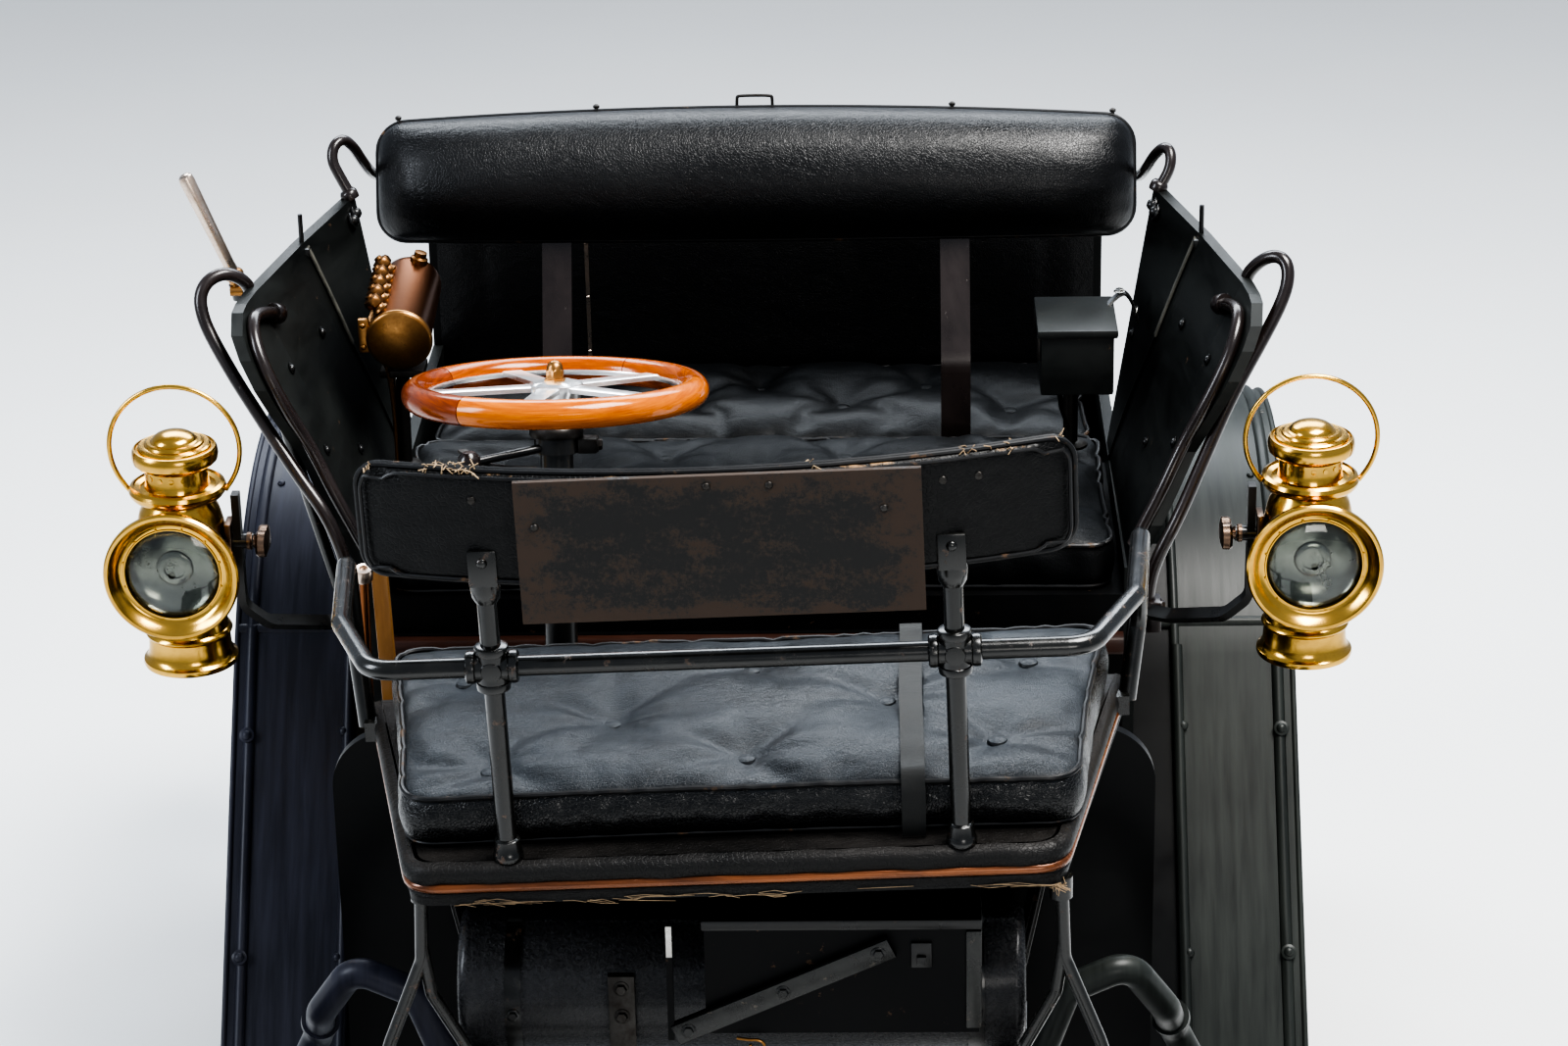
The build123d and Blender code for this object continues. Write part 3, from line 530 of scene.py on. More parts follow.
def make_materials():
    MB["leather_top"] = leather("leather_seat", (0.007, 0.0085, 0.010), (0.030, 0.037, 0.045), (0.30, 0.52), 300.0, 0.5, 0.45)
    # darker copy of the seat leather for the driver's and rear cushions: painted shade under the overhang
    MB["leather_shaded"] = leather("leather_inside_shaded", (0.004, 0.0045, 0.005), (0.014, 0.0165, 0.019), (0.34, 0.6), 300.0, 0.4, 0.35, spec=0.25)
    MB["leather_back"] = leather("leather_bolster", (0.004, 0.004, 0.0045), (0.014, 0.015, 0.016), (0.24, 0.42), 300.0, 0.3, 0.35, (1, 1, 2), spec=0.45)
    MB["leather_old"] = leather("leather_base", (0.008, 0.0078, 0.0075), (0.036, 0.032, 0.029), (0.36, 0.62), 190.0, 0.7, 0.6)
    # glossier, darker leather for the cushion's boxing: the gloss is its finish, the darker colour is painted shade on
    # the sides
    MB["leather_gloss"] = leather("leather_boxing_shaded", (0.0035, 0.0037, 0.004), (0.013, 0.0135, 0.014), (0.13, 0.30), 280.0, 0.35, 0.5, spec=0.55)
    MB["board"] = board_material()
    MB["piping"] = piping_material()
    MB["strap"] = leather("leather_strap", (0.014, 0.0145, 0.014), (0.044, 0.044, 0.041), (0.5, 0.75), 380.0, 0.6, 0.25)
    MB["body"] = painted("body_paint", (0.0035, 0.0035, 0.004), (0.011, 0.012, 0.012), (0.3, 0.5), (1, 1, 1.6), 9.0, 0.05, bump=0.05, spec=0.25)
    # rougher, chipped copy of the body paint for the seat box and the box under the seat; its darker colour is painted
    # shade
    MB["body_shaded"] = painted("body_inside_shaded", (0.003, 0.003, 0.0035), (0.009, 0.0095, 0.010), (0.4, 0.6), (1, 1, 1), 8.0, 0.0, chip=0.15, spec=0.25)
    MB["wing"] = painted("wing_paint", (0.007, 0.0078, 0.0075), (0.026, 0.029, 0.027), (0.36, 0.6), (1.2, 0.5, 1.5), 11.0, 0.05, chip=0.1, spec=0.35)
    m = Mat("mudguard_paint_and_sheen", Coat_Weight=0.12, Coat_Roughness=0.3, Specular_IOR_Level=0.32)
    n = m.noise(10.0, 6, 0.6, m.scaled((9.0, 0.6, 0.6)), 0.3)
    # colour changes from left to right as a painted reflection: bluish sky sheen on the left mudguard, grey-green on
    # the right; the light end of each streaky mix is painted sheen
    side = m.rng(m.axis(0), -0.1, 0.1)
    t = m.rng(m.math("ADD", m.math("MULTIPLY", n, 0.45), m.math("MULTIPLY", m.noise(3.0, 4, 0.5), 0.5)), 0.38, 0.68)
    m.put("Base Color", m.mix(side, m.mix(t, (0.014, 0.015, 0.023), (0.046, 0.048, 0.070)), m.mix(t, (0.014, 0.0165, 0.015), (0.044, 0.050, 0.044))))
    m.put("Roughness", m.rng(n, 0.3, 0.75, 0.38, 0.54))
    m.bump(m.noise(90.0, 5, 0.7, m.scaled((3.0, 0.3, 0.3))), 0.04, 0.001)
    MB["mud"] = m.m
    MB["frame"] = painted("frame_paint", (0.0045, 0.0045, 0.0045), (0.015, 0.015, 0.014), (0.24, 0.45), (1, 1, 1), 22.0, 0.3, chip=0.35, chipc=(0.05, 0.028, 0.016))
    MB["rail"] = painted("rail_paint", (0.0035, 0.0035, 0.0032), (0.014, 0.014, 0.012), (0.14, 0.34), (1, 1, 1), 30.0, 0.5, chip=0.55, chipc=(0.085, 0.050, 0.032), bump=0.12)
    MB["handle"] = painted("handle_paint", (0.010, 0.0065, 0.006), (0.030, 0.020, 0.018), (0.2, 0.4), (1, 1, 0.5), 18.0, 0.45, chip=0.2, chipc=(0.05, 0.03, 0.02))
    MB["iron"] = metal("iron_dark", (0.075, 0.072, 0.068), (0.030, 0.020, 0.015), (0.36, 0.65), 0.9, 40.0, 0.15)
    MB["steel"] = metal("steel_bright", (0.55, 0.55, 0.53), (0.25, 0.22, 0.19), (0.2, 0.4), 0.7, 30.0, 0.05)
    MB["bronze"] = metal("bronze_worn", (0.22, 0.155, 0.115), (0.07, 0.040, 0.027), (0.22, 0.45), 0.8, 60.0, 0.08)
    MB["worn_iron"] = painted("worn_iron", (0.007, 0.007, 0.0065), (0.038, 0.040, 0.035), (0.2, 0.42), (1, 1, 1), 45.0, 0.3, chip=0.5, chipc=(0.11, 0.09, 0.07), bump=0.2)
    MB["tap"] = metal("tap_brown", (0.24, 0.125, 0.052), (0.085, 0.040, 0.018), (0.25, 0.5), 0.9, 60.0, 0.08)
    MB["strip"] = painted("worn_strip", (0.05, 0.05, 0.042), (0.20, 0.19, 0.16), (0.4, 0.6), (1, 1, 1), 50.0, 0.0)
    MB["wheelpaint"] = painted("wheel_paint", (0.0055, 0.0055, 0.006), (0.017, 0.017, 0.018), (0.2, 0.4), (1, 1, 1), 16.0, 0.5, chip=0.2, chipc=(0.05, 0.028, 0.016))
    MB["tyre"] = tread_material()
    MB["brass"] = metal("brass_polished", (0.64, 0.40, 0.105), (0.29, 0.160, 0.038), (0.13, 0.30), 0.6, 16.0, 0.04)
    MB["brass_dull"] = metal("brass_dull", (0.44, 0.24, 0.095), (0.20, 0.095, 0.036), (0.24, 0.48), 0.9, 40.0, 0.08)
    MB["copper"] = metal("copper_brown", (0.235, 0.098, 0.045), (0.11, 0.046, 0.023), (0.26, 0.36), 0.45, 8.0, 0.03)
    MB["bead"] = painted("copper_bead", (0.080, 0.024, 0.007), (0.32, 0.105, 0.028), (0.2, 0.38), (0.5, 4, 4), 26.0, 0.5, metal=0.35, chip=0.3, chipc=(0.012, 0.008, 0.007))
    MB["alu"] = metal("aluminium_bright", (0.97, 0.97, 0.96), (0.84, 0.83, 0.81), (0.26, 0.38), 0.3, 30.0, 0.02)
    MB["nickel"] = metal("nickel_worn", (0.66, 0.56, 0.48), (0.34, 0.19, 0.10), (0.22, 0.45), 0.9, 34.0, 0.06)
    # the lamp reflector is coloured dark grey: painted shade inside the lamp
    MB["reflector"] = metal("reflector", (0.20, 0.20, 0.175), (0.060, 0.056, 0.046), (0.16, 0.36), 0.8, 22.0, 0.04)
    MB["wood_a"] = wood_rim("rim_wood_bright", (0.70, 0.205, 0.006), (0.42, 0.090, 0.003))
    MB["wood_b"] = wood_rim("rim_wood_brown", (0.33, 0.062, 0.005), (0.14, 0.024, 0.003))
    MB["wood_c"] = wood_rim("rim_wood_mid", (0.50, 0.118, 0.006), (0.26, 0.048, 0.003))
    MB["wood_pale"] = wood("wood_pale", (0.36, 0.19, 0.055), (0.17, 0.075, 0.022), (1, 1, 0.1), (0.4, 0.6), 0.15, 24.0)
    MB["wood_red"] = wood("wood_red", (0.085, 0.030, 0.017), (0.016, 0.008, 0.006), (0.08, 1, 1), (0.3, 0.5), 0.3, 26.0)
    MB["wood_floor"] = wood("wood_floor", (0.060, 0.046, 0.034), (0.014, 0.011, 0.008), (1, 0.08, 1), (0.5, 0.75), 0.05, 26.0, 0.2)
    MB["plate"] = plate_material()
    MB["straw"] = painted("straw", (0.16, 0.10, 0.055), (0.50, 0.38, 0.24), (0.7, 0.9), (1, 1, 1), 60.0, 0.0)
    MB["glass"] = glass_material()
    m = Mat("tank_enamel", Coat_Weight=0.5, Coat_Roughness=0.2)
    n = m.noise(210.0, 4, 0.7)
    m.put("Base Color", m.mix(m.rng(m.noise(12.0, 5), 0.4, 0.8), (0.005, 0.005, 0.006), (0.016, 0.016, 0.019)))
    m.put("Roughness", m.rng(n, 0.3, 0.8, 0.16, 0.40))
    m.bump(n, 1.0, 0.0026)
    MB["tank"] = m.m


CAD_LOOK = {
    "chassis_frame": "frame", "leaf_springs": "frame", "front_axle": "frame", "rear_axle": "frame", "engine_block": "iron",
    "footwell_floor": "wood_floor", "dash_panel": "body", "seat_box": "body_shaded", "side_panels": "wing", "tailboard": "body",
    "front_seat_base": "leather_old", "front_seat_cushion": "leather_top", "driver_seat_cushion": "leather_shaded",
    "rear_seat_cushion": "leather_shaded", "backrest_bars": "handle", "backrest_bolster": "leather_back", "front_seat_rail": "rail",
    "front_seat_back": "board", "number_plate": "plate", "front_seat_stays": "rail", "fuel_tank": "tank", "battery_box": "body_shaded",
    "rear_mudguards": "mud", "front_mudguards": "mud", "lamps": "brass", "lamp_glasses": "glass", "lamp_brackets": "frame",
    "grab_rails": "handle", "lubricator": "copper", "coil_box": "body", "brake_lever": "rail", "steering_column": "frame",
    "steering_wheel": "wood_a", "knuckle_left": "frame", "knuckle_right": "frame", "tie_rod": "frame",
}


def dress_cad():
    for name, ob in NODES.items():
        key = CAD_LOOK.get(name)
        if key is None:
            key = "tyre" if name.startswith("tyre_") else "wheelpaint"
        ob.data.materials.clear()
        ob.data.materials.append(MB[key])


# ---------------------------------------------------------------- soft pieces
def round_map(u, v, a, b, r):
    s = max(abs(u), abs(v))
    if s < 1e-9:
        return 0.0, 0.0
    x, y = u * a, v * b
    cx, cy, rr = a * s - r * s, b * s - r * s, r * s
    if abs(x) > cx and abs(y) > cy:
        dx, dy = abs(x) - cx, abs(y) - cy
        d = math.hypot(dx, dy)
        if d > 1e-12:
            x = math.copysign(cx + rr * dx / d, x)
            y = math.copysign(cy + rr * dy / d, y)
    return x, y


def cushion(name, node, cx, cy, a, b, r, taper, z0, zs, crown, buttons, pull, cell, sim, seed, rise=0.0, bulge=0.004):
    """A stuffed seat cushion: top panel sewn to a boxing strip, buttons pulled down.
    a, b: half sizes of the seam line; taper: growth of x with y; zs: seam height; z0: underside."""
    nx, ny = max(8, int(2 * a / cell)), max(8, int(2 * b / cell))
    nz = max(4, int((zs - z0) / cell))
    bm = bmesh.new()
    top, seam, low = {}, [], []
    pins = []

    def place(u, v, z, out=0.0):
        x, y = round_map(u, v, a, b, r)
        # sides pull in between the corners
        s = max(abs(u), abs(v))
        pin = 0.006 * s ** 4
        if abs(u) >= abs(v):
            x -= math.copysign(pin * (1 - (v / max(s, 1e-6)) ** 2), u)
        else:
            y -= math.copysign(pin * (1 - (u / max(s, 1e-6)) ** 2), v)
        if out:
            n = Vector((x / a, y / b, 0))
            n = Vector((n.x ** 5, n.y ** 5, 0))
            if n.length > 1e-9:
                n.normalize()
                x += n.x * out
                y += n.y * out
        x *= 1 + taper * y
        return Vector((cx + x, cy + y, z))

    for i in range(nx + 1):
        for j in range(ny + 1):
            u, v = -1 + 2 * i / nx, -1 + 2 * j / ny
            s = max(abs(u), abs(v))
            z = zs + crown * (1 - s ** 4)
            z += rise * v
            top[i, j] = bm.verts.new(place(u, v, z))
    for i in range(nx):
        for j in range(ny):
            bm.faces.new([top[i, j], top[i + 1, j], top[i + 1, j + 1], top[i, j + 1]])
    ring = [(i, 0) for i in range(nx)] + [(nx, j) for j in range(ny)] + [(i, ny) for i in range(nx, 0, -1)] + [(0, j) for j in range(ny, 0, -1)]
    prev = [top[k] for k in ring]
    seam = list(prev)
    for k in range(1, nz + 1):
        t = k / nz
        row = [bm.verts.new(place(-1 + 2 * i / nx, -1 + 2 * j / ny, zs + rise * (-1 + 2 * j / ny) * (1 - t) + (z0 - zs) * t, bulge * math.sin(PI * t))) for i, j in ring]
        for q in range(len(ring)):
            q2 = (q + 1) % len(ring)
            bm.faces.new([prev[q2], prev[q], row[q], row[q2]])
        prev = row
    low = list(prev)
    bot = {}
    for q, k in enumerate(ring):
        bot[k] = prev[q]
    for i in range(nx + 1):
        for j in range(ny + 1):
            if (i, j) not in bot:
                bot[i, j] = bm.verts.new(place(-1 + 2 * i / nx, -1 + 2 * j / ny, z0))
    for i in range(nx):
        for j in range(ny):
            bm.faces.new([bot[i, j], bot[i, j + 1], bot[i + 1, j + 1], bot[i + 1, j]])
    bm.verts.index_update()
    seam_i = [v.index for v in seam]
    low_i = [v.index for v in low]
    bot_i = [v.index for v in bot.values()]
    top_i = {k: v.index for k, v in top.items()}
    hits = []
    for bx, by in buttons:
        best = min(top, key=lambda k: (top[k].co.x - bx) ** 2 + (top[k].co.y - by) ** 2)
        hits.append(top_i[best])
    bmesh.ops.recalc_face_normals(bm, faces=bm.faces)
    me = bpy.data.meshes.new(name)
    bm.to_mesh(me)
    bm.free()
    n = len(me.vertices)
    co = np.zeros(n * 3)
    me.vertices.foreach_get("co", co)
    co = co.reshape(-1, 3)
    rest = co.copy()
    tops = set(top_i.values())
    # dimples at the buttons, with folds running out from them
    rnd = random.Random(seed)
    ph = [rnd.uniform(0, 6.28) for _ in hits]
    for h, p0 in zip(hits, ph):
        c = rest[h]
        for k in tops:
            dx, dy = rest[k][0] - c[0], rest[k][1] - c[1]
            d = math.hypot(dx, dy)
            if d > 0.16:
                continue
            g = pull * math.exp(-(d / 0.034) ** 1.2)
            ang = math.atan2(dy, dx)
            fold = 0.0030 * math.exp(-((d - 0.035) / 0.05) ** 2) * math.cos(5 * ang + p0 + 2.0 * math.sin(2 * ang))
            edge = min(1.0, (a - abs(rest[k][0] - cx)) / 0.04, (b - abs(rest[k][1] - cy)) / 0.03)
            co[k][2] -= g * max(0.0, edge) - fold * max(0.0, edge)
    me.vertices.foreach_set("co", co.ravel())
    ob = bpy.data.objects.new(name, me)
    bpy.context.scene.collection.objects.link(ob)
    if sim:
        vg = ob.vertex_groups.new(name="pin")
        vg.add(bot_i, 1.0, "REPLACE")
        vg.add(seam_i, 0.55, "REPLACE")
        near = []
        for h in hits:
            for k in tops:
                if (rest[k][0] - rest[h][0]) ** 2 + (rest[k][1] - rest[h][1]) ** 2 < 0.0115 ** 2:
                    near.append(k)
        vg.add(near, 1.0, "REPLACE")
        start = np.zeros(n * 3)
        me.vertices.foreach_get("co", start)
        start = start.reshape(-1, 3)
        mod = ob.modifiers.new("cloth", "CLOTH")
        s = mod.settings
        s.quality = 5
        s.mass = 0.25
        s.tension_stiffness = 12
        s.compression_stiffness = 12
        s.shear_stiffness = 4
        s.bending_stiffness = 0.6
        s.use_pressure = True
        s.uniform_pressure_force = 4.0
        s.effector_weights.gravity = 0.0
        s.vertex_group_mass = "pin"
        s.pin_stiffness = 1.0
        s.shrink_min = -0.045
        mod.collision_settings.use_collision = False
        sc = bpy.context.scene
        mod.point_cache.frame_start, mod.point_cache.frame_end = 1, 22
        for fr in range(1, 22):
            sc.frame_set(fr)
        dg = bpy.context.evaluated_depsgraph_get()
        ev = ob.evaluated_get(dg)
        got = np.zeros(n * 3)
        ev.data.vertices.foreach_get("co", got)
        got = got.reshape(-1, 3)
        ob.modifiers.remove(mod)
        ob.vertex_groups.clear()
        sc.frame_set(1)
        d = got - start
        length = np.linalg.norm(d, axis=1, keepdims=True)
        cap = 0.013
        d = d * np.minimum(1.0, cap / np.maximum(length, 1e-9)) * (0.42 if PLACE[0] is not None else 0.8)
        end = start + d
        end[:, 2] = np.maximum(end[:, 2], z0)
        me.vertices.foreach_set("co", end.ravel())
        me.update()
    sub = ob.modifiers.new("sub", "SUBSURF")
    sub.levels = sub.render_levels = 1
    co = np.zeros(n * 3)
    me.vertices.foreach_get("co", co)
    co = co.reshape(-1, 3)
    seam_pts = [Vector(co[k]) for k in seam_i]
    low_pts = [Vector(co[k]) + Vector((0, 0, 0.004)) for k in low_i]
    hit_pts = [Vector(co[k]) for k in hits]
    dg = bpy.context.evaluated_depsgraph_get()
    new = bpy.data.meshes.new_from_object(ob.evaluated_get(dg))
    ob.modifiers.clear()
    ob.data = new
    new.name = name
    if PLACE[0] is not None:
        new.transform(PLACE[0])
    new.materials.clear()
    # the front cushion takes the seat leather, the inner cushions its darker copy, which is painted shade
    new.materials.append(MB["leather_top" if PLACE[0] is not None else "leather_shaded"])
    new.materials.append(MB["leather_gloss" if PLACE[0] is not None else "leather_shaded"])
    for p in new.polygons:
        p.use_smooth = True
        # faces that stand up get the darker boxing leather: painted shade on the cushion's sides
        p.material_index = 1 if abs(p.normal.z) < 0.62 else 0
    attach(ob, "car_body")
    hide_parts(node)
    # piping along both seams
    bm = bmesh.new()
    add_tube(bm, seam_pts, 0.0032, 8, True)
    add_tube(bm, [Vector((p.x, p.y, max(p.z, z0 + 0.003))) for p in low_pts], 0.0026, 6, True)
    finish_mesh(name + "_piping", bm, MB["piping"], "car_body")
    bm = bmesh.new()
    for p in hit_pts:
        add_lathe(bm, [(0.0, -0.002), (0.0105, -0.002), (0.0112, 0.001), (0.0098, 0.0036), (0.006, 0.0052), (0, 0.0056)], p + Vector((0, 0, 0.0008)), (0, 0, 1), 24)
    finish_mesh(name + "_buttons", bm, MB["leather_top" if PLACE[0] is not None else "leather_shaded"], "car_body")
    return ob


def cushions():
    PLACE[0] = ASKEW
    cushion("front_cushion", "front_seat_cushion", 0.0063, -0.5565, 0.3755, 0.1770, 0.036, 0.355, 0.9735, 1.0345, 0.014,
            [(-0.258, -0.675), (-0.133, -0.583), (0.008, -0.470), (0.012, -0.672), (0.156, -0.552), (0.281, -0.645), (0.315, -0.465), (-0.30, -0.465)],
            0.013, 0.0105, True, 3, 0.006, 0.007)
    PLACE[0] = None
    cushion("driver_cushion", "driver_seat_cushion", 0.0, 0.165, 0.440, 0.181, 0.034, 0.0, 0.938, 0.994, 0.020,
            [(x, y) for x in (-0.33, -0.11, 0.11, 0.33) for y in (0.08, 0.25)] + [(x, 0.165) for x in (-0.22, 0.0, 0.22)],
            0.013, 0.0125, True, 5)
    cushion("rear_cushion", "rear_seat_cushion", 0.0, 0.619, 0.437, 0.141, 0.032, 0.0, 0.889, 0.940, 0.020,
            [(x, y) for x in (-0.33, -0.11, 0.11, 0.33) for y in (0.575,)] + [(x, 0.655) for x in (-0.22, 0.0, 0.22)],
            0.016, 0.0125, True, 9)


def bolster():
    cy, cz, L = 0.472, 1.314, 0.489
    nx, nf, nb = 96, 26, 12
    up = Vector((0, 0.34, 0.94)).normalized()
    fw = Vector((0, -0.94, 0.34)).normalized()
    bm = bmesh.new()

    def half_height(x, top):
        t = abs(x) / L
        h = 0.0855 * (1 - 0.19 * t * t) if top else 0.0845 * (1 - 0.04 * t * t)
        rc = 0.036
        d = L - abs(x)
        if d < rc:
            h -= rc - math.sqrt(max(0.0, rc * rc - (rc - d) ** 2))
        return h

    def point(x, phi, front):
        # phi 0 at the upper seam, pi at the lower seam
        t = abs(x) / L
        top, bot = half_height(x, True), half_height(x, False)
        mid, half = (top - bot) / 2, (top + bot) / 2
        end = max(0.0, 1 - t ** 9) ** 0.5
        s, c = math.sin(phi), math.cos(phi)
        if front:
            depth = 0.075 * (s ** 0.85 if s > 0 else 0) * end
            wr = 0.0022 * math.exp(-(L - abs(x)) / 0.045) * math.cos(13 * phi + (0.6 if x > 0 else 1.9)) * (1.0 if x > 0 else 0.45) * s * end
            soft = 0.0016 * noise.noise(Vector((x * 9, phi * 1.3, 0.3)))
            depth += wr + soft * s
        else:
            depth = -0.034 * (s ** 0.6 if s > 0 else 0) * end
        return Vector((x, cy, cz)) + up * (mid + half * c) + fw * (depth - 0.006)

    xs = []
    for i in range(nx + 1):
        t = -1 + 2 * i / nx
        xs.append(L * math.copysign(1 - (1 - abs(t)) ** 1.6, t))
    rows = []
    for x in xs:
        row = [bm.verts.new(point(x, PI * k / nf, True)) for k in range(nf + 1)]
        row += [bm.verts.new(point(x, PI * (1 - k / nb), False)) for k in range(1, nb)]
        rows.append(row)
    m = len(rows[0])
    for r0, r1 in zip(rows, rows[1:]):
        for k in range(m):
            bm.faces.new([r0[k], r0[(k + 1) % m], r1[(k + 1) % m], r1[k]])
    bm.faces.new(rows[0])
    bm.faces.new(rows[-1][::-1])
    ob = finish_mesh("bolster", bm, MB["leather_back"], "car_body", 60)
    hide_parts("backrest_bolster")
    loop = [point(x, 0, True) for x in xs] + [point(xs[-1], PI * k / 8, True) for k in range(1, 8)] + [point(x, PI, True) for x in xs[::-1]] + [point(xs[0], PI * (1 - k / 8), True) for k in range(1, 8)]
    bm = bmesh.new()
    add_tube(bm, loop, 0.0034, 8, True)
    finish_mesh("bolster_piping", bm, MB["piping"], "car_body")
    # pins along the top edge, and the loop at its middle
    bm = bmesh.new()
    for x in (-0.472, -0.205, 0.255, 0.478):
        p = point(max(-0.46, min(0.46, x)), 0, True)
        p.x = x if abs(x) < 0.46 else math.copysign(0.462, x)
        add_tube(bm, [p, p + Vector((0, 0.002, 0.006))], 0.0024, 8)
        add_lathe(bm, [(0, -0.002), (0.004, -0.001), (0.0044, 0.002), (0.002, 0.004), (0, 0.0044)], p + Vector((0, 0.002, 0.005)), (0, 0.1, 1), 12)
    p = point(0.0, 0, True)
    add_tube(bm, smooth_path([p + Vector((-0.023, 0.004, -0.004)), p + Vector((-0.023, 0.004, 0.0125)), p + Vector((-0.021, 0.004, 0.0150)), p + Vector((0.021, 0.004, 0.0150)), p + Vector((0.023, 0.004, 0.0125)), p + Vector((0.023, 0.004, -0.004))], 4), 0.0021, 8)
    finish_mesh("bolster_fittings", bm, MB["iron"], "car_body")


def seat_board():
    """curved leather-covered board behind the front seat, with piping and frayed stuffing"""
    y_mid, y_end, hw, z0, z1, T = -0.7995, -0.7375, 0.3645, 1.2872, 1.4068, 0.0245
    sag = y_end - y_mid
    R = (hw * hw + sag * sag) / (2 * sag)
    yc = y_mid + R
    amax = math.asin(hw / R)
    nu, nv, rc = 110, 26, 0.026

    def at(u, v, d):
        # u, v in -1..1 on the face, d = distance in from the outer face
        H = (z1 - z0) / 2
        x, z = round_map(u, v, hw, H, rc)
        a = x / hw * amax
        rr = R - d
        return Vector((rr * math.sin(a), yc - rr * math.cos(a), (z0 + z1) / 2 + z))

    bm = bmesh.new()
    grids = []
    for face in (0, 1):
        g = {}
        for i in range(nu + 1):
            for j in range(nv + 1):
                u, v = -1 + 2 * i / nu, -1 + 2 * j / nv
                s = max(abs(u), abs(v) ** 1.5)
                puff = 0.0032 * (1 - s ** 6)
                e = 0.006 * s ** 30
                d = (0.0035 - puff + e) if face == 0 else (T - 0.0035 + puff - e)
                d += 0.0006 * noise.noise(Vector((u * 14, v * 4, face * 3.0)))
                g[i, j] = bm.verts.new(at(u, v, d))
        grids.append(g)
    for f, g in enumerate(grids):
        for i in range(nu):
            for j in range(nv):
                q = [g[i, j], g[i + 1, j], g[i + 1, j + 1], g[i, j + 1]]
                bm.faces.new(q if f == 0 else q[::-1])
    ring = [(i, 0) for i in range(nu)] + [(nu, j) for j in range(nv)] + [(i, nv) for i in range(nu, 0, -1)] + [(0, j) for j in range(nv, 0, -1)]
    n = len(ring)
    for k in range(n):
        a, b = ring[k], ring[(k + 1) % n]
        bm.faces.new([grids[0][b], grids[0][a], grids[1][a], grids[1][b]])
    front = [grids[0][k].co.copy() for k in ring]
    back = [grids[1][k].co.copy() for k in ring]
    ob = finish_mesh("seat_board", bm, MB["board"], "car_body", 50)
    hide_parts("front_seat_back")
    bm = bmesh.new()
    add_tube(bm, front[::1], 0.0030, 8, True)
    add_tube(bm, back[::1], 0.0030, 8, True)
    inner = [at(-1 + 2 * i / nu, -1 + 2 * j / nv, 0.0) for i, j in ring]
    c = Vector((0, y_mid, (z0 + z1) / 2))
    line = []
    for i, j in ring:
        u, v = -1 + 2 * i / nu, -1 + 2 * j / nv
        line.append(at(u * 0.977, v * 0.925, 0.0012))
    add_tube(bm, line, 0.0021, 6, True)
    finish_mesh("seat_board_piping", bm, MB["piping"], "car_body")
    # frayed stuffing where the cover has split
    rnd = random.Random(11)
    bm = bmesh.new()
    spots = ((-0.352, 0.008, 8), (-0.268, 0.022, 20), (-0.240, 0.018, 16), (0.10, 0.016, 4), (0.262, 0.022, 8), (0.295, 0.010, 4), (0.350, 0.008, 5))
    for x0, spread, count in spots:
        for _ in range(count):
            x = x0 + rnd.gauss(0, spread * 0.5)
            u = max(-0.97, min(0.97, x / hw))
            base = at(u, 0.995, rnd.uniform(0.002, T - 0.004))
            ln = rnd.uniform(0.005, 0.014)
            d = Vector((rnd.gauss(0, 1), rnd.gauss(-0.1, 0.6), abs(rnd.gauss(0.1, 0.25)))).normalized()
            mid = base + d * ln * 0.5 + Vector((rnd.gauss(0, 0.002), rnd.gauss(0, 0.002), 0.0015))
            tip = base + d * ln + Vector((rnd.gauss(0, 0.003), rnd.gauss(0, 0.003), rnd.gauss(-0.001, 0.002)))
            tip.z = min(tip.z, z1 + 0.014)
            add_tube(bm, [base - Vector((0, 0, 0.002)), mid, tip], rnd.uniform(0.0005, 0.0009), 5)
    finish_mesh("seat_board_straw", bm, MB["straw"], "car_body", 80)
    # screws through the board and clips on its posts
    bm = bmesh.new()
    for x, z in ((-0.238, 1.378), (0.226, 1.382), (0.262, 1.382)):
        u = x / hw
        p = at(u, 0, 0.0)
        p.z = z
        add_bolt(bm, p + Vector((0, 0.002, 0)), (0, -1, 0), 0.0048, 0.003, "slot", False)
    finish_mesh("seat_board_screws", bm, MB["iron"], "car_body")
    bm = bmesh.new()
    for s in (-1, 1):
        x = s * 0.235
        # the post flattens into a strap behind the board, seen below its edge
        add_lathe(bm, [(0, 0), (0.0118, 0), (0.0150, 0.006), (0.0160, 0.014), (0.0160, 0.024), (0, 0.024)], (x, -0.762, 1.2640), (0, 0, 1), 24)
        yy = yc - math.sqrt((R + 0.001) ** 2 - x * x)
        add_box(bm, (x, yy, 1.305), (0.030, 0.006, 0.040), None, 0.0025)
        add_bolt(bm, (x, yy - 0.003, 1.312), (0, -1, 0), 0.0055, 0.0035, "dome", False)
    finish_mesh("seat_board_collars", bm, MB["rail"], "car_body")
    # screws of the plate
    bm = bmesh.new()
    for x, z in ((-0.004, 1.398), (0.058, 1.397), (-0.176, 1.361), (0.170, 1.368)):
        add_bolt(bm, (x, -0.8078, z), (0, -1, 0), 0.0042, 0.0026, "dome", False)
    finish_mesh("plate_screws", bm, MB["iron"], "car_body")


